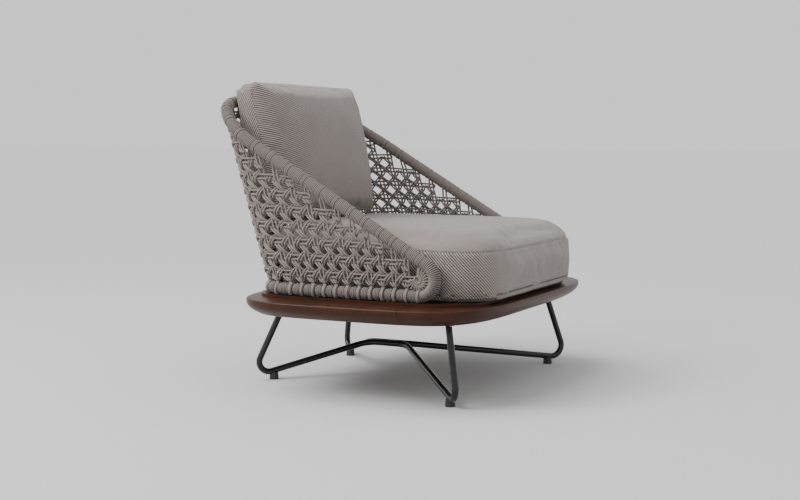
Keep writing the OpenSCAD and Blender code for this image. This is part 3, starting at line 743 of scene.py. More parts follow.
class Weave:
    """Routes of the woven cords, by column and row."""

    def __init__(self):
        sizes = bpy.context.scene.armchair_weave
        self.pitch = sizes.row_pitch
        self.pair = sizes.pair_gap / 2
        self.cross = sizes.cross_gap * math.sqrt(0.5)
        self.rows = int((BACK_RAIL_Z - FIRST_ROW_Z) / self.pitch) + 1

    def width(self, u, z0):
        """Width of a cell at column u and row height z0."""
        a, b = max(u - 0.5, 0), min(u + 0.5, ALL_COLUMNS)
        return (shell_point(b, z0) - shell_point(a, z0)).length / (b - a)

    def height(self, w):
        return FIRST_ROW_Z + w * self.pitch

    def full(self, i, j):
        """Whether the cell has its diagonals."""
        if j < 0:
            return 0 <= i < ALL_COLUMNS
        reach = min(RAIL_HEIGHTS[i], RAIL_HEIGHTS[i + 1]) if 0 <= i < ALL_COLUMNS else 0
        return reach > self.height(j + 1) + DIAGONAL_ROOM * self.pitch

    def uprights(self, i):
        """The two cords of upright pair i, from the base rail to the arm or back rail."""
        start, end = BASE_Z + UPRIGHT_START, RAIL_HEIGHTS[i] - 2 * MM
        count = max(4, round((end - start) / (self.pitch * STEP)))
        routes = []
        for side in (-1, 1):
            route = self.tie(min(max(i + side * 0.3 * self.pair / self.width(i, BASE_Z), 0.0), ALL_COLUMNS))
            for k in range(count + 1):
                z0 = start + (end - start) * k / count
                w = (z0 - FIRST_ROW_Z) / self.pitch
                opened = min(fade(z0, start + 6 * MM, FIRST_ROW_Z), fade(end - z0, 6 * MM, 24 * MM))
                spread = TIED_SPREAD + (1 - TIED_SPREAD) * opened
                swing = min(fade(z0, start, FIRST_ROW_Z), fade(end - z0, 0, 20 * MM))
                out = RELIEF * math.cos(math.pi * w) * (-1) ** i * swing
                u = i + side * self.pair * spread / self.width(i, z0)
                u = min(max(u, 0.0), ALL_COLUMNS)
                route.append(shell_point(u, z0, out))
            routes.append(route)
        return routes

    def tie(self, u):
        """A cord's way over the outside of the base rail at column u."""
        middle = shell_point(u, BASE_Z, -WEAVE_OUT)
        aim = (shell_point(u, BASE_Z) - middle).normalized()
        reach = WRAP_R + 0.8 * MM
        return [middle + aim * (reach * math.cos(a)) + Vector((0, 0, reach * math.sin(a)))
                for a in (math.radians(-50 + 12 * k) for k in range(10))]

    def level_ends(self, j):
        """First and last column that row j reaches."""
        least = self.height(j) + LEVEL_ROOM * self.pitch
        reached = [i for i in range(ALL_COLUMNS // 2) if RAIL_HEIGHTS[i] > least]
        return (reached[0], ALL_COLUMNS - reached[0]) if reached else None

    def level_point(self, u, j, rise):
        out = -RELIEF * math.cos(math.pi * u) * (-1) ** j
        return shell_point(min(max(u, 0.0), ALL_COLUMNS), self.height(j) + rise, out)

    def level(self, j, first, last):
        """The two cords of level pair j between two columns; they turn back round the pair at a free end."""
        ends = self.level_ends(j)
        if not ends:
            return []
        a, b = max(first, ends[0] - LEVEL_PAST), min(last, ends[1] + LEVEL_PAST)
        if a >= b:
            return []
        count = max(3, round((b - a) / STEP))
        upper = [self.level_point(a + (b - a) * k / count, j, self.pair) for k in range(count + 1)]
        lower = [self.level_point(a + (b - a) * k / count, j, -self.pair) for k in range(count + 1)]
        turns = {}
        for end, sign in ((a, -1), (b, 1)):
            free = end not in (first, last)
            turns[sign] = [self.level_point(end + sign * LEVEL_TURN * math.sin(t), j, self.pair * math.cos(t))
                           for t in (math.pi * k / 6 for k in range(1, 6))] if free else None
        if turns[-1] is None and turns[1] is None:
            return [upper, lower]
        if turns[1] is None:
            return [upper[::-1] + turns[-1] + lower]
        return [upper + turns[1] + lower[::-1]]

    def diagonal_point(self, u, w, way, shift):
        swing = max(-1.0, min(1.0, 1.6 * math.cos(2 * math.pi * u)))
        tie = fade(w, -0.75, -0.2)
        z0 = self.height(w)
        across = shift * self.cross * (0.5 + 0.5 * tie) / self.width(min(max(u, 0.5), ALL_COLUMNS - 0.5), z0)
        return shell_point(min(max(u + across, 0.0), ALL_COLUMNS), z0, way * DIAGONAL_RELIEF * swing * tie)

    def diagonals(self, way, first, last):
        """Pairs of diagonal cords that rise with u (way 1) or fall with it (way -1)."""
        routes = []
        for n in range(-self.rows - 2, ALL_COLUMNS + self.rows + 2):
            run = []
            for m in range(-1, 2 * self.rows):
                w0 = m / 2
                u0 = n + 0.5 + way * w0
                u1 = u0 + way * 0.5
                mid_u, mid_w = (u0 + u1) / 2, w0 + 0.25
                shown = first <= mid_u <= last and self.full(math.floor(mid_u), math.floor(mid_w))
                if shown:
                    run = run or [(u0, w0)]
                    run.append((u1, w0 + 0.5))
                if (not shown or m == 2 * self.rows - 1) and run:
                    routes += [self.diagonal_route(run, way, shift) for shift in (-1, 1)]
                    run = []
        return routes

    def diagonal_route(self, run, way, shift):
        route = []
        count = 5
        for (u0, w0), (u1, w1) in zip(run, run[1:]):
            for k in range(count):
                t = k / count
                route.append(self.diagonal_point(u0 + (u1 - u0) * t, w0 + (w1 - w0) * t, way, shift))
        route.append(self.diagonal_point(*run[-1], way, shift))
        return route

    def rosette(self, side):
        """Cords that fan out from the first tie to the rail's front bend, round a small knot."""
        slope = ARM_SLOPE / 2
        centre_y = ARM_LINE[0] + (BASE_Z - ARM_LINE[1]) / math.tan(ARM_SLOPE) + FRONT_BEND_R / math.tan(slope)
        centre_z = BASE_Z + FRONT_BEND_R
        x = RAIL_X + WEAVE_OUT

        def spot(r, angle, out):
            return Vector((-side * (x + out), centre_y + r * math.cos(angle), centre_z + r * math.sin(angle)))

        def ray(a):
            return [spot((6 + 23 * t) * MM, a + 0.10 * math.sin(6 * t), (1.5 + 4.5 * math.sin(math.pi * t)) * MM)
                    for t in (q / 6 for q in range(7))]

        rays = 15
        found = [ray(math.radians(100) + math.radians(250) * k / (rays - 1)) for k in range(rays)]
        for r, out in ((5 * MM, 3.5 * MM), (8.5 * MM, 5.5 * MM)):
            found.append([spot(r, math.tau * q / 16, out) for q in range(17)])
        return found

    def routes(self, first, last, with_last=False):
        """All the cords of the columns from first to last."""
        found = self.rosette(1) if first == 0 else []
        found += self.rosette(-1) if last == ALL_COLUMNS else []
        for i in range(first, last + 1 if with_last else last):
            found += self.uprights(i)
        for j in range(self.rows):
            found += self.level(j, first, last)
        for way in (1, -1):
            found += self.diagonals(way, first, last)
        return found


# ---- wrapping of the rails ----
def column_spots(path, upper):
    """Places along an upper or base rail, as lengths, at which the upright pairs are tied to it."""
    lengths = lengths_along(path)
    found = []
    for i in range(ALL_COLUMNS + 1):
        p = shell_point(i, RAIL_HEIGHTS[i] if upper else BASE_Z)
        k = min(range(len(path)), key=lambda q: (path[q] - p).length)
        if (path[k] - p).length < 12 * MM and 0 < k < len(path) - 1:
            found.append(lengths[k])
    return found


TIE_HALF, NOTCH_HALF = 4.2 * MM, 7.8 * MM              # half the width of a tie, and of it with its notches


def wrap_spots(path, ties, pitch, depth):
    """Ring places along a rail: barrels of turns between the ties, with notches of this depth beside a tie."""
    line = even(path, pitch)
    total = lengths_along(path)[-1]
    spots = []
    for k, p in enumerate(line):
        a, b = line[max(k - 1, 0)], line[min(k + 1, len(line) - 1)]
        at = total * k / (len(line) - 1)
        near = min([abs(at - t) for t in ties] or [1.0])
        swell = 1 - depth * 0.5 + depth * 0.6 * smoothstep((near - 5 * MM) / (10 * MM))
        if near < TIE_HALF:
            swell = 1 + depth * 0.5
        elif near < NOTCH_HALF:
            swell = 1 - depth
        spots.append((p, (b - a).normalized(), swell))
    return spots


# ---- plinth ----
PLINTH_HALF_W = high("right_board").x
PLINTH_FRONT, PLINTH_REAR = low("front_board").y, high("rear_board").y
PLINTH_MID = (PLINTH_FRONT + PLINTH_REAR) / 2
SQUARENESS = 4.6                     # power of the rim's superellipse
REAR_SHARE = 0.125                   # the outline moves back by this share of its inset
JOINTS = (high("front_board").y, low("rear_board").y)
OPENING = (0.290, -0.225, 0.150)     # half width, front and rear of the opening in the plinth
REBATE = (0.311, -0.236, 0.156)
REBATE_DEPTH = 8 * MM


def signed_power(v, e):
    return math.copysign(abs(v) ** e, v)


def plinth_rim(inset, z, count=288):
    """The plinth's outline at a height, this far in from its rim."""
    e = 2 / SQUARENESS
    half_d = (PLINTH_REAR - PLINTH_FRONT) / 2
    for k in range(count):
        t = math.tau * (k + 0.5) / count
        yield Vector(((PLINTH_HALF_W - inset) * signed_power(math.cos(t), e),
                      PLINTH_MID + inset * REAR_SHARE + (half_d - inset * (1 - REAR_SHARE))
                      * signed_power(math.sin(t), e), z))


def plinth_profile():
    """Insets and depths down the rim: a soft top edge, a short upright face, an underside that sweeps in."""
    edge, face, reach, depth = 3.4 * MM, 6.5 * MM, 31 * MM, PLINTH_TOP - PLINTH_BOTTOM
    top = [(edge * (1 - math.sin(a)), edge * (1 - math.cos(a))) for a in (math.pi / 2 * k / 5 for k in range(6))]
    under = [(reach * t ** 2.1, face + (depth - face) * t) for t in (k / 14 for k in range(15))]
    return top + under


def box_mesh(name, lo, hi):
    corners = [(x, y, z) for x in (lo[0], hi[0]) for y in (lo[1], hi[1]) for z in (lo[2], hi[2])]
    faces = [(0, 1, 3, 2), (4, 6, 7, 5), (0, 4, 5, 1), (2, 3, 7, 6), (0, 2, 6, 4), (1, 5, 7, 3)]
    return mesh_object(name, corners, faces, smooth=False)


def cut(obj, tool, operation):
    out = modified(obj, "BOOLEAN", object=tool, operation=operation, solver="EXACT")
    bpy.data.objects.remove(tool)
    return out


def plinth_board(name, y0, y1, x0, x1):
    """The part of the plinth between these limits, with the opening and its rebate cut out."""
    rows = [list(plinth_rim(inset, PLINTH_TOP - depth)) for inset, depth in plinth_profile()]
    obj = stacked(name, rows[::-1])
    obj = cut(obj, box_mesh("keep", (x0, y0, 0), (x1, y1, 1)), "INTERSECT")
    for (half, front, rear), floor in ((OPENING, 0), (REBATE, PLINTH_TOP - REBATE_DEPTH)):
        obj = cut(obj, box_mesh("opening", (-half, front, floor), (half, rear, 1)), "DIFFERENCE")
    sharpen(obj, 32)
    dress(obj.data, "stained_timber")
    return obj


# ---- base ----
# front foot's corner and its leg's direction, then the rear ones
LEG_POINTS = [(-0.371, -0.316, 0.013), (41, 38.5, 160), (-0.252, 0.310, 0.009), (62.4, -48.7, 160)]
SPINE = (-0.0081, -0.011, 0.103, 0.081)          # x, y at the front and rear, z
FOOT_BENDS = (0.030, 0.026)                      # bend radii at the front and rear foot
SPINE_BEND = 0.060


def leg_route():
    """The left leg tube's centreline, and the places of its front and rear tops."""
    front, front_rise, rear, rear_rise = (Vector(p) for p in LEG_POINTS)
    top_z = low("front_left_plate").z + 0.5 * MM
    front_top = front + front_rise * ((top_z - front.z) / front_rise.z)
    rear_top = rear + rear_rise * ((top_z - rear.z) / rear_rise.z)
    x, y0, y1, z = SPINE
    points = [rear_top, rear, Vector((x, y1, z)), Vector((x, y0, z)), front, front_top]
    bends = [FOOT_BENDS[1], SPINE_BEND, SPINE_BEND, FOOT_BENDS[0]]
    return rounded(points, bends, step=0.0025), front_top, rear_top


def weld_bead(top, rise):
    """Ring of weld round a leg's end, under its plate."""
    spots = []
    z = low("front_left_plate").z - 0.6 * MM
    centre = top + rise * ((z - top.z) / rise.z)
    stretch = rise.length / rise.z
    side = Vector((rise.x, rise.y, 0)).normalized()
    other = Vector((-side.y, side.x, 0))
    reach = TUBE_R + 1.1 * MM
    count = 44
    for k in range(count):
        a = math.tau * k / count
        p = centre + side * (math.cos(a) * reach * stretch) + other * (math.sin(a) * reach)
        spots.append(Vector((p.x, p.y, z + 0.25 * MM * math.sin(11 * a))))
    return spots + spots[:1]


# ---- cushions ----
SEAT_SEAM_Z = 0.355
SEAT_FRONT_R, SEAT_REAR_R = 0.118, 0.080         # plan radii of the seat's corners
SEAT_REAR_TUCK = 39 * MM             # the seat's foot ends this far in front of its rear top edge
SEAT_SHOULDER = 33                   # mm above the seam at which the rear reaches furthest back


def rounded_outline(half_w, y0, y1, r_front, r_rear, step=0.006):
    """A plan outline with round corners, from the front middle round to the right."""
    points = []
    corners = [(half_w - r_front, y0 + r_front, r_front, -90), (half_w - r_rear, y1 - r_rear, r_rear, 0),
               (-half_w + r_rear, y1 - r_rear, r_rear, 90), (-half_w + r_front, y0 + r_front, r_front, 180)]
    for cx, cy, r, start in corners:
        count = max(4, int(r * math.pi / 2 / step))
        for k in range(count + 1):
            a = math.radians(start + 90 * k / count)
            points.append(Vector((cx + r * math.cos(a), cy + r * math.sin(a), 0)))
    return points


def inflated(obj, pressure, cap):
    """The obj filled out by a cloth simulation with air pressure; no point goes out further than cap."""
    start = np.array([v.co for v in obj.data.vertices])
    aim = np.array([v.normal for v in obj.data.vertices])
    cloth = obj.modifiers.new("cloth", "CLOTH")
    settings = cloth.settings
    settings.quality = 5
    settings.mass = 0.3
    settings.use_pressure = True
    settings.uniform_pressure_force = pressure
    settings.effector_weights.gravity = 0
    settings.tension_stiffness = settings.compression_stiffness = 15
    settings.bending_stiffness = 1
    frames = bpy.context.scene.armchair_cushions.frames
    cloth.point_cache.frame_start = 1
    cloth.point_cache.frame_end = frames
    for k in range(1, frames + 1):
        bpy.context.scene.frame_set(k)
    out = applied(obj)
    bpy.context.scene.frame_set(1)
    moved = np.array([v.co for v in out.data.vertices]) - start
    lift = (moved * aim).sum(1, keepdims=True)
    slide = moved - lift * aim
    slide *= np.minimum(1, 4 * MM / np.maximum(np.linalg.norm(slide, axis=1, keepdims=True), 1e-9))
    place = start + slide + aim * np.clip(lift, -3 * MM, cap)
    out.data.vertices.foreach_set("co", place.ravel())
    out.data.update()
    return out


def kept_over(obj, node, gap):
    """Lifts every point of a cover that comes nearer than gap to its foam core, which stays as it is."""
    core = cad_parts[node].data
    tree = BVHTree.FromPolygons([v.co for v in core.vertices], [p.vertices for p in core.polygons])
    for v in obj.data.vertices:
        place, aim, _, _ = tree.find_nearest(v.co)
        if (v.co - place).dot(aim) < gap:
            v.co = place + aim * gap
    obj.data.update()


def reshaped(obj, change):
    """Moves every vertex of obj with change(places, normals)."""
    count = len(obj.data.vertices)
    place, normal = np.zeros(count * 3), np.zeros(count * 3)
    obj.data.vertices.foreach_get("co", place)
    obj.data.vertices.foreach_get("normal", normal)
    place = change(place.reshape(-1, 3), normal.reshape(-1, 3))
    obj.data.vertices.foreach_set("co", place.ravel())
    obj.data.update()


def store_cloth_map(obj, mapping):
    """Stores the cloth map: place across the ribs, place along them, and how strong the painted rib shade is."""
    place = np.array([v.co for v in obj.data.vertices])
    normal = np.array([v.normal for v in obj.data.vertices])
    data = mapping(place, normal)
    attribute = obj.data.attributes.new("cloth", "FLOAT_VECTOR", "POINT")
    attribute.data.foreach_set("vector", data.astype(np.float32).ravel())


def filled_cushion(cover, voxel, pressure, cap, rounds, foam, finish, cloth_map):
    """A sewn cover as a filled cushion over its foam, eased, finished and mapped for its cloth."""
    cover = inflated(modified(cover, "REMESH", mode="VOXEL", voxel_size=voxel), pressure, cap)
    kept_over(cover, foam, 4 * MM)
    cover = modified(cover, "SMOOTH", factor=0.5, iterations=rounds)
    cover = modified(cover, "SUBSURF", levels=1, render_levels=1)
    reshaped(cover, finish)
    kept_over(cover, foam, 1 * MM)
    store_cloth_map(cover, cloth_map)
    sharpen(cover, 180)
    dress(cover.data, "ribbed_cloth")
    return cover


def ramp_np(value, start, end):
    """Smooth rise from 0 at start to 1 at end, over an array."""
    t = np.clip((value - start) / (end - start), 0, 1)
    return t * t * (3 - 2 * t)


def seat_start():
    """The seat cushion's sewn shape, before it is filled."""
    lo, hi = low("seat_cover"), high("seat_cover")
    half, y0, y1 = hi.x, lo.y, hi.y
    base = lo.z
    seam = (SEAT_SEAM_Z - base) / MM
    shoulder = seam + SEAT_SHOULDER
    band = 5
    layers = [(band + 2, 0), (band - 1, 5), (band - 1, 16), (band - 1, 60), (band - 1, seam - 8),
              (band + 1, seam), (band + 5, seam + 9), (band + 16, seam + 20), (band + 34, seam + 31),
              (band + 62, seam + 39), (band + 110, seam + 44)]
    rows = []
    for inset, rise in layers:
        d = inset * MM
        tuck = SEAT_REAR_TUCK * (1 - min(rise / shoulder, 1)) + band * MM + max(rise - shoulder, 0) * 0.7 * MM
        r_front, r_rear = max(SEAT_FRONT_R - d * 0.25, 0.05), max(SEAT_REAR_R - d * 0.25, 0.04)
        rows.append([Vector((p.x, p.y, base + rise * MM))
                     for p in rounded_outline(half - d, y0 + d, y1 - tuck, r_front, r_rear)])
    m = min(len(r) for r in rows)
    rows = [even(r + r[:1], lengths_along(r + r[:1])[-1] / m)[:m] for r in rows]
    return stacked("seat_cushion_cover", rows)


def seat_perimeter(place):
    """Length round the band at each place, growing to the front on the left and to the right in front."""
    lo, hi = low("seat_cover"), high("seat_cover")
    outline = rounded_outline(hi.x, lo.y, hi.y, SEAT_FRONT_R, SEAT_REAR_R)
    points = np.array([(p.x, p.y) for p in outline + outline[:1]])
    lengths = np.concatenate([[0], np.cumsum(np.linalg.norm(np.diff(points, axis=0), axis=1))])
    steps, batch = 1600, 4000
    even_lengths = np.linspace(0, lengths[-1], steps)
    cloud = np.stack([np.interp(even_lengths, lengths, points[:, k]) for k in (0, 1)], 1)
    out = np.zeros(len(place))
    for k in range(0, len(place), batch):
        part = place[k:k + batch, None, :2]
        out[k:k + batch] = np.argmin(((part - cloud[None]) ** 2).sum(2), axis=1)
    return out * lengths[-1] / (steps - 1)


def seat_cloth_map(place, _normal):
    """Ribs on the slant round the band and faint ones across the top; painted rib shade is faint at the front's
    middle.
    """
    around = seat_perimeter(place)
    band = (place[:, 2] < SEAT_SEAM_Z + 2 * MM) & (place[:, 2] > low("seat_cover").z + 6 * MM)
    across = np.where(band, around + place[:, 2], place[:, 0] - place[:, 1]) * math.sqrt(0.5)
    along = np.where(band, around - place[:, 2], place[:, 0] + place[:, 1]) * math.sqrt(0.5)
    middle = ramp_np(-np.abs(place[:, 0]), -0.318, -0.235) * (place[:, 1] < 0)
    # painted shade: rib shade strength follows how light falls, strong round the band's sides, corners and rear,
    # faint at the front's middle and on the top
    strength = np.where(band, 1.5 - 1.35 * middle, 0.04)
    return np.stack([across, along, strength], 1)


def seat_finish(place, normal):
    """Sewn seam line, gathers under it at the front, and limits that keep it off its neighbours."""
    lo, hi = low("seat_cover"), high("seat_cover")
    out = place.copy()
    seam = np.exp(-((place[:, 2] - SEAT_SEAM_Z) / (2.6 * MM)) ** 2)
    side = ramp_np(np.linalg.norm(normal[:, :2], axis=1), 0.35, 0.7)
    out -= normal * (seam * side * 1.7 * MM)[:, None]
    around = seat_perimeter(place)
    below = np.clip((SEAT_SEAM_Z - place[:, 2]) / 0.1, 0, 1)
    above = np.clip((place[:, 2] - SEAT_SEAM_Z) / 0.03, 0, 1)
    reach = np.where(place[:, 2] < SEAT_SEAM_Z, np.exp(-3.2 * below) * ramp_np(below, 0, 0.05),
                     np.exp(-2.5 * above) * ramp_np(above, 0, 0.15) * 0.7)
    front = ramp_np(-place[:, 1], 0.20, 0.33)
    waves = np.array([noise.noise((a * 34, 0.7, z * 7)) for a, z in zip(around, place[:, 2])])
    out += normal * (waves * reach * (0.35 + front) * side * 2.6 * MM)[:, None]
    soft = np.array([noise.noise((x * 9, y * 9, z * 9)) for x, y, z in place])
    out += normal * (soft * 1.2 * MM)[:, None]
    tall = np.clip((place[:, 2] - lo.z) / (SEAT_SEAM_Z - lo.z), 0, 1)
    free = ramp_np(-place[:, 1], 0.24, 0.31)
    out += normal * (np.sin(math.pi * tall) * free * side * 4 * MM)[:, None]
    out[:, 0] = np.clip(out[:, 0], lo.x - free * 6 * MM, hi.x + free * 6 * MM)
    shoulder = SEAT_SEAM_Z - lo.z + SEAT_SHOULDER * MM
    rear = hi.y - SEAT_REAR_TUCK * (1 - np.clip((out[:, 2] - lo.z) / shoulder, 0, 1))
    out[:, 1] = np.clip(out[:, 1], lo.y - 8 * MM, rear)
    out[:, 2] = np.clip(out[:, 2], lo.z, hi.z + 4 * MM)
    return out


BACK_FRONT = (0.222, 0.070)          # y of the front panel's foot, and how far it leans back
BACK_REAR = (0.256, 0.094)           # the same of the rear panel
BACK_CROWN, BACK_BELLY = 44 * MM, 17 * MM   # how far the front and rear panels swell


def back_depths(a, b):
    """Front and rear y of the back cushion at a across and b up, both from -1 to 1."""
    crown = ((1 - abs(a) ** 2.6) * (1 - abs(b) ** 3)) ** 0.8 * BACK_CROWN
    t = (b + 1) / 2
    belly = BACK_BELLY * math.sin(math.pi * min(max(t, 0.0), 1.0)) ** 0.6
    return BACK_FRONT[0] + BACK_FRONT[1] * t - crown, BACK_REAR[0] + BACK_REAR[1] * t + belly


def back_start():
    """The back cushion's sewn shape: front and rear panels with a boxed side between them."""
    lo, hi = low("back_cover"), high("back_cover")
    slack = 4 * MM
    half_x, half_z = hi.x - slack, (hi.z - lo.z) / 2 - slack
    middle = (hi.z + lo.z) / 2
    columns, rows = 90, 64
    corner, soft = 26 * MM, 9 * MM
    points, faces, index = [], [], {}

    def point(i, j, front):
        key = (i, j, front)
        if key not in index:
            a, b = i / columns * 2 - 1, j / rows * 2 - 1
            x, z = a * half_x, b * half_z
            over = Vector((max(abs(x) - half_x + corner, 0), max(abs(z) - half_z + corner, 0)))
            edge = min(half_x - abs(x), half_z - abs(z))
            if over.length > corner * 0.999:
                over = over * (corner / over.length)
                x = math.copysign(half_x - corner + over.x, x) if abs(x) > half_x - corner else x
                z = math.copysign(half_z - corner + over.y, z) if abs(z) > half_z - corner else z
            y_front, y_rear = back_depths(a, b)
            inset = soft - math.sqrt(max(soft ** 2 - max(soft - edge, 0) ** 2, 0))
            y = y_front + inset if front else y_rear - inset * 1.6
            droop = 0 if front else 15 * MM * fade(b, 0.6, 1.0)
            index[key] = len(points)
            points.append((x, y, middle + z - droop))
        return index[key]

    def band(places):
        for (i, j), (k, m) in zip(places, places[1:]):
            faces.append((point(i, j, False), point(k, m, False), point(k, m, True), point(i, j, True)))

    for i in range(columns):
        for j in range(rows):
            faces.append((point(i, j, True), point(i + 1, j, True), point(i + 1, j + 1, True),
                          point(i, j + 1, True)))
            faces.append((point(i, j, False), point(i, j + 1, False), point(i + 1, j + 1, False),
                          point(i + 1, j, False)))
    band([(i, 0) for i in range(columns + 1)])
    band([(columns, j) for j in range(rows + 1)])
    band([(i, rows) for i in range(columns, -1, -1)])
    band([(0, j) for j in range(rows, -1, -1)])
    return mesh_object("back_cushion_cover", points, faces)


BACK_TILT, SIDE_TILT = math.radians(17), math.radians(62)   # slant of the ribs on the front and the sides
FOLD_INSET = 8 * MM                  # the fold between the front and the sides is this far in
UPRIGHT_X, UPRIGHT_REACH = 0.215, 22 * MM   # the cushion keeps off the uprights within this reach of them


def back_cloth_map(place, normal):
    """Ribs on the slant, and on their own slant at the sides; painted rib shade is strongest on the front's
    left.
    """
    side = np.abs(place[:, 0]) > high("back_cover").x - FOLD_INSET
    front = np.stack([place[:, 2] * math.cos(BACK_TILT) + place[:, 0] * math.sin(BACK_TILT),
                      place[:, 0] * math.cos(BACK_TILT) - place[:, 2] * math.sin(BACK_TILT)], 1)
    edge = np.stack([place[:, 1] * math.sin(SIDE_TILT) + place[:, 2] * math.cos(SIDE_TILT),
                     place[:, 2] * math.sin(SIDE_TILT) - place[:, 1] * math.cos(SIDE_TILT)], 1)
    both = np.where(side[:, None], edge, front)
    # painted shade: rib shade strength follows how light falls, strongest on the front's left, faint on its
    # right, less on faces turned to the rear, and set at the sides
    facing = 1.1 - 0.98 * ramp_np(place[:, 0], -0.30, 0.0)
    away = ramp_np(normal[:, 1], -0.3, 0.3)
    strength = np.where(side, 0.8, facing + (0.6 - facing) * away)
    return np.concatenate([both, strength[:, None]], 1)


def back_finish(place, normal):
    """Soft dents, the fold down the front's sides, and limits that keep it off the weave and the rail."""
    lo, hi = low("back_cover"), high("back_cover")
    out = place.copy()
    soft = np.array([noise.noise((x * 7, y * 7 + 3, z * 7)) for x, y, z in place])
    out += normal * (soft * 2.0 * MM)[:, None]
    fold = np.exp(-((hi.x - FOLD_INSET - np.abs(place[:, 0])) / (3 * MM)) ** 2)
    fold *= ramp_np(-normal[:, 1], 0.1, 0.4) * ramp_np(-np.abs(normal[:, 2]), -0.5, -0.2)
    out -= normal * (fold * 1.2 * MM)[:, None]
    out[:, 0] = np.clip(out[:, 0], lo.x - 2 * MM, hi.x + 2 * MM)
    out[:, 2] = np.clip(out[:, 2], lo.z, hi.z + 6 * MM)
    weave_inner = FOOT_Y + (out[:, 2] - BASE_Z) * math.tan(LEAN) - 6 * MM
    near_upright = np.abs(np.abs(out[:, 0]) - UPRIGHT_X) < UPRIGHT_REACH
    limit = np.where(near_upright, weave_inner - 15 * MM, weave_inner)
    out[:, 1] = np.minimum(out[:, 1], np.minimum(limit, low("back_rail_wrap").y - 2 * MM))
    return out


# ---- stage ----
CAMERA_PLACE = Vector((-3.0798, -1.5098, 0.6191))
CAMERA_YAW, CAMERA_PITCH = math.radians(63.7086), math.radians(-4.8687)
CAMERA_LENS = 59.58


def aimed(name, data, place, direction):
    """A light or camera at a place, turned to a direction."""
    obj = placed(name, data)
    obj.location = place
    obj.rotation_euler = Vector(direction).to_track_quat("-Z", "Y").to_euler()
    return obj


def stage_floor():
    """A wide pale floor."""
    half = 60.0
    corners = [(-half, -half, 0), (half, -half, 0), (half, half, 0), (-half, half, 0)]
    floor = mesh_object("studio_floor", corners, [(0, 1, 2, 3)])
    paper, n, shader = new_material("studio_paper", Roughness=0.95, Specular_IOR_Level=0.1)
    tooth = speckle(n, 60.0)
    feed(n, shader, Base_Color=ramp(n, tooth, [(0.3, (0.56, 0.56, 0.56)), (0.7, (0.58, 0.58, 0.58))]))
    floor.data.materials.append(paper)


def stage_lights(scene):
    """A white sky, a broad soft sun and a softbox behind on the left."""
    scene.world = bpy.data.worlds.new("studio")
    scene.world.use_nodes = True
    sky = scene.world.node_tree.nodes["Background"].inputs
    sky["Color"].default_value = (1, 1, 1, 1)
    sky["Strength"].default_value = 1.0
    sun = bpy.data.lights.new("soft_sky", "SUN")
    sun.energy = 2.4
    sun.angle = math.radians(45)
    aimed("soft_sky", sun, (0, 0, 0), (0.30, -0.50, -1))
    box = bpy.data.lights.new("left_rear_box", "AREA")
    box.shape = "RECTANGLE"
    box.size = box.size_y = 1.2
    box.energy = 60
    place = Vector((-2.2, 1.8, 2.4))
    aimed("left_rear_box", box, place, Vector((0, 0.1, 0.45)) - place)


def stage_camera(scene):
    camera = bpy.data.cameras.new("camera")
    camera.lens = CAMERA_LENS
    camera.sensor_width = 36
    forward = Vector((math.sin(CAMERA_YAW) * math.cos(CAMERA_PITCH),
                      math.cos(CAMERA_YAW) * math.cos(CAMERA_PITCH), math.sin(CAMERA_PITCH)))
    scene.camera = aimed("camera", camera, CAMERA_PLACE, forward)


# ---- operators ----
class ARMCHAIR_OT_stage(bpy.types.Operator):
    """Floor, lights and camera"""
    bl_idname = "armchair.stage"
    bl_label = "Stage"

    def execute(self, context):
        stage_floor()
        stage_lights(context.scene)
        stage_camera(context.scene)
        return {"FINISHED"}


class ARMCHAIR_OT_base(bpy.types.Operator):
    """The two bent leg tubes with their welds"""
    bl_idname = "armchair.base"
    bl_label = "Base tubes"

    def execute(self, context):
        route, front_top, rear_top = leg_route()
        rises = Vector(LEG_POINTS[1]), Vector(LEG_POINTS[3])
        beads = [weld_bead(front_top, rises[0]), weld_bead(rear_top, rises[1])]
        steel = material("black_coated_steel")
        for side, flip in (("left", False), ("right", True)):
            line = mirrored(route) if flip else route
            rims = [mirrored(b) if flip else b for b in beads]
            tube = cords(f"{side}_leg_bent_tube", [line], TUBE_R, steel, sides=32)
            weld = cords(f"{side}_leg_welds", rims, 1.5 * MM, steel, sides=8)
            tube = joined(f"{side}_leg_bent_tube", [tube, weld])
            sharpen(tube, 40)
            finish_piece(tube, FRAME_BODY, f"{side}_leg_tube")
        return {"FINISHED"}


class ARMCHAIR_OT_plinth(bpy.types.Operator):
    """The four shaped boards of the plinth"""
    bl_idname = "armchair.plinth"
    bl_label = "Plinth boards"

    def execute(self, context):
        front, rear = JOINTS
        play = 0.35 * MM
        for place, area in (("front", (-1, front - play, -1, 1)),
                            ("rear", (rear + play, 1, -1, 1)),
                            ("left", (front + play, rear - play, -1, 0)),
                            ("right", (front + play, rear - play, 0, 1))):
            board = plinth_board(f"{place}_plinth_board", *area)
            finish_piece(board, FRAME_BODY, f"{place}_board")
        return {"FINISHED"}


class ARMCHAIR_OT_weave(bpy.types.Operator):
    """The woven cords of the sides and back"""
    bl_idname = "armchair.weave"
    bl_label = "Weave"

    def execute(self, context):
        weave = Weave()
        cord = material("braided_cord")
        radius = context.scene.armchair_weave.cord_r
        last = ALL_COLUMNS - BACK_COLUMN
        for place, a, b, closed in (("left", 0, BACK_COLUMN, False), ("back", BACK_COLUMN, last, False),
                                    ("right", last, ALL_COLUMNS, True)):
            piece = cords(f"{place}_weave_cords", weave.routes(a, b, closed), radius, cord, sides=7)
            finish_piece(piece, FRAME_BODY, f"{place}_weave")
        return {"FINISHED"}


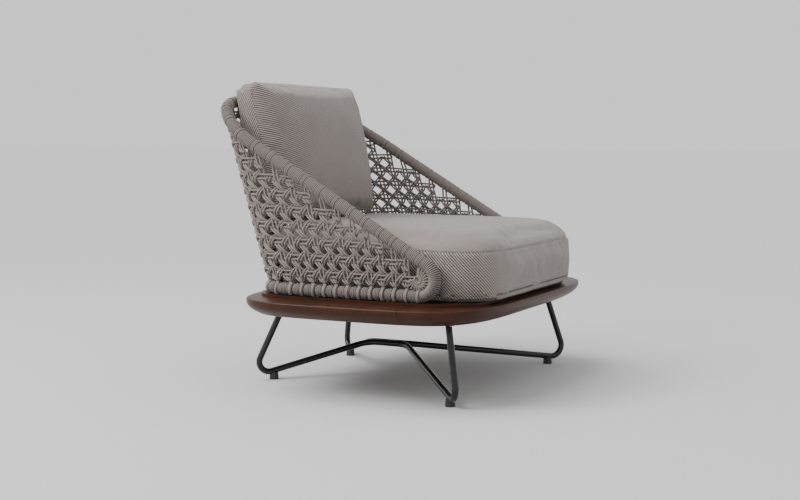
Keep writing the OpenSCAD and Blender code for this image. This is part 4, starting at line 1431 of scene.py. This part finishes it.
class ARMCHAIR_OT_wrapping(bpy.types.Operator):
    """The turns of cord round the rails"""
    bl_idname = "armchair.wrapping"
    bl_label = "Rail wrapping"

    def execute(self, context):
        sizes = context.scene.armchair_weave
        turn_r = sizes.turn_pitch * 0.52
        cord = material("wrapped_cord")
        base = even(base_path(), 4 * MM)
        end = ARM_PATH[-1]
        back = [Vector((end.x + 0.2 * MM, end.y, end.z)), Vector((-end.x - 0.2 * MM, end.y, end.z))]
        rear = [Vector((x, FOOT_Y, BASE_Z)) for x in (low("rear_base_wrap").x, high("rear_base_wrap").x)]
        for rail, path, upper in (("left_arm", ARM_PATH, True), ("right_arm", mirrored(ARM_PATH), True),
                                  ("back_rail", even(back, 4 * MM), True), ("left_base", base, False),
                                  ("right_base", mirrored(base), False),
                                  ("rear_base", even(rear, 4 * MM), False)):
            ties = column_spots(path, upper)
            spots = wrap_spots(path, ties, sizes.turn_pitch, 0.06 if upper else 0.08)
            piece = rings(f"{rail}_wrapping", spots, WRAP_R - turn_r, turn_r, cord)
            finish_piece(piece, FRAME_BODY, f"{rail}_wrap")
        return {"FINISHED"}


class ARMCHAIR_OT_seat_cushion(bpy.types.Operator):
    """The filled seat cushion"""
    bl_idname = "armchair.seat_cushion"
    bl_label = "Seat cushion"

    def execute(self, context):
        seat = filled_cushion(seat_start(), voxel=6 * MM, pressure=3.0, cap=9 * MM, rounds=6,
                              foam="seat_foam", finish=seat_finish, cloth_map=seat_cloth_map)
        finish_piece(seat, SEAT_BODY, "seat_cover")
        return {"FINISHED"}


class ARMCHAIR_OT_back_cushion(bpy.types.Operator):
    """The filled back cushion"""
    bl_idname = "armchair.back_cushion"
    bl_label = "Back cushion"

    def execute(self, context):
        back = filled_cushion(back_start(), voxel=5 * MM, pressure=3.5, cap=12 * MM, rounds=4,
                              foam="back_foam", finish=back_finish, cloth_map=back_cloth_map)
        finish_piece(back, BACK_BODY, "back_cover")
        return {"FINISHED"}


NODE_FINISHES = {
    "stained_timber": ["board_dowels", "deck_frame"] + [f"slat_{i}" for i in range(1, 7)],
    "black_coated_steel": ["spine_welds", "front_left_plate", "front_right_plate", "rear_left_plate",
                           "rear_right_plate", "left_arm_tube", "right_arm_tube", "back_rail_tube",
                           "base_rail_tube", "left_upright", "right_upright"],
    "zinc_plate": ["plate_screws", "slat_screws", "hoop_bolts"],
    "moulded_glide": ["front_left_foot", "front_right_foot", "rear_left_foot", "rear_right_foot"],
    "open_cell_foam": ["seat_foam", "back_foam"],
}


class ARMCHAIR_OT_finishes(bpy.types.Operator):
    """Materials of the pieces that keep their shape from the frame"""
    bl_idname = "armchair.finishes"
    bl_label = "Frame finishes"

    def execute(self, context):
        for finish, nodes in NODE_FINISHES.items():
            for node in nodes:
                dress(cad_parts[node].data, finish)
        return {"FINISHED"}


OPERATORS = (ARMCHAIR_OT_stage, ARMCHAIR_OT_base, ARMCHAIR_OT_plinth, ARMCHAIR_OT_weave, ARMCHAIR_OT_wrapping,
             ARMCHAIR_OT_seat_cushion, ARMCHAIR_OT_back_cushion, ARMCHAIR_OT_finishes)


class ARMCHAIR_PT_panel(bpy.types.Panel):
    """Sizes, colours and pieces of the armchair"""
    bl_label = "Armchair"
    bl_idname = "ARMCHAIR_PT_panel"
    bl_space_type = "VIEW_3D"
    bl_region_type = "UI"
    bl_category = "Armchair"

    def draw(self, context):
        scene = context.scene
        for group in (scene.armchair_weave, scene.armchair_wood, scene.armchair_cushions):
            box = self.layout.box()
            for name in group.__annotations__:
                box.prop(group, name)
        for operator in OPERATORS:
            self.layout.operator(operator.bl_idname)


GROUPS = {"armchair_weave": ArmchairWeave, "armchair_wood": ArmchairWood,
          "armchair_cushions": ArmchairCushions}
CLASSES = (*GROUPS.values(), *OPERATORS, ARMCHAIR_PT_panel)


def register():
    for cls in CLASSES:
        bpy.utils.register_class(cls)
    for name, group in GROUPS.items():
        setattr(bpy.types.Scene, name, PointerProperty(type=group))


def unregister():
    for name in GROUPS:
        delattr(bpy.types.Scene, name)
    for cls in reversed(CLASSES):
        bpy.utils.unregister_class(cls)


def main():
    register()
    for operator in OPERATORS:
        area, name = operator.bl_idname.split(".")
        getattr(getattr(bpy.ops, area), name)()


if __name__ == "__main__":
    main()
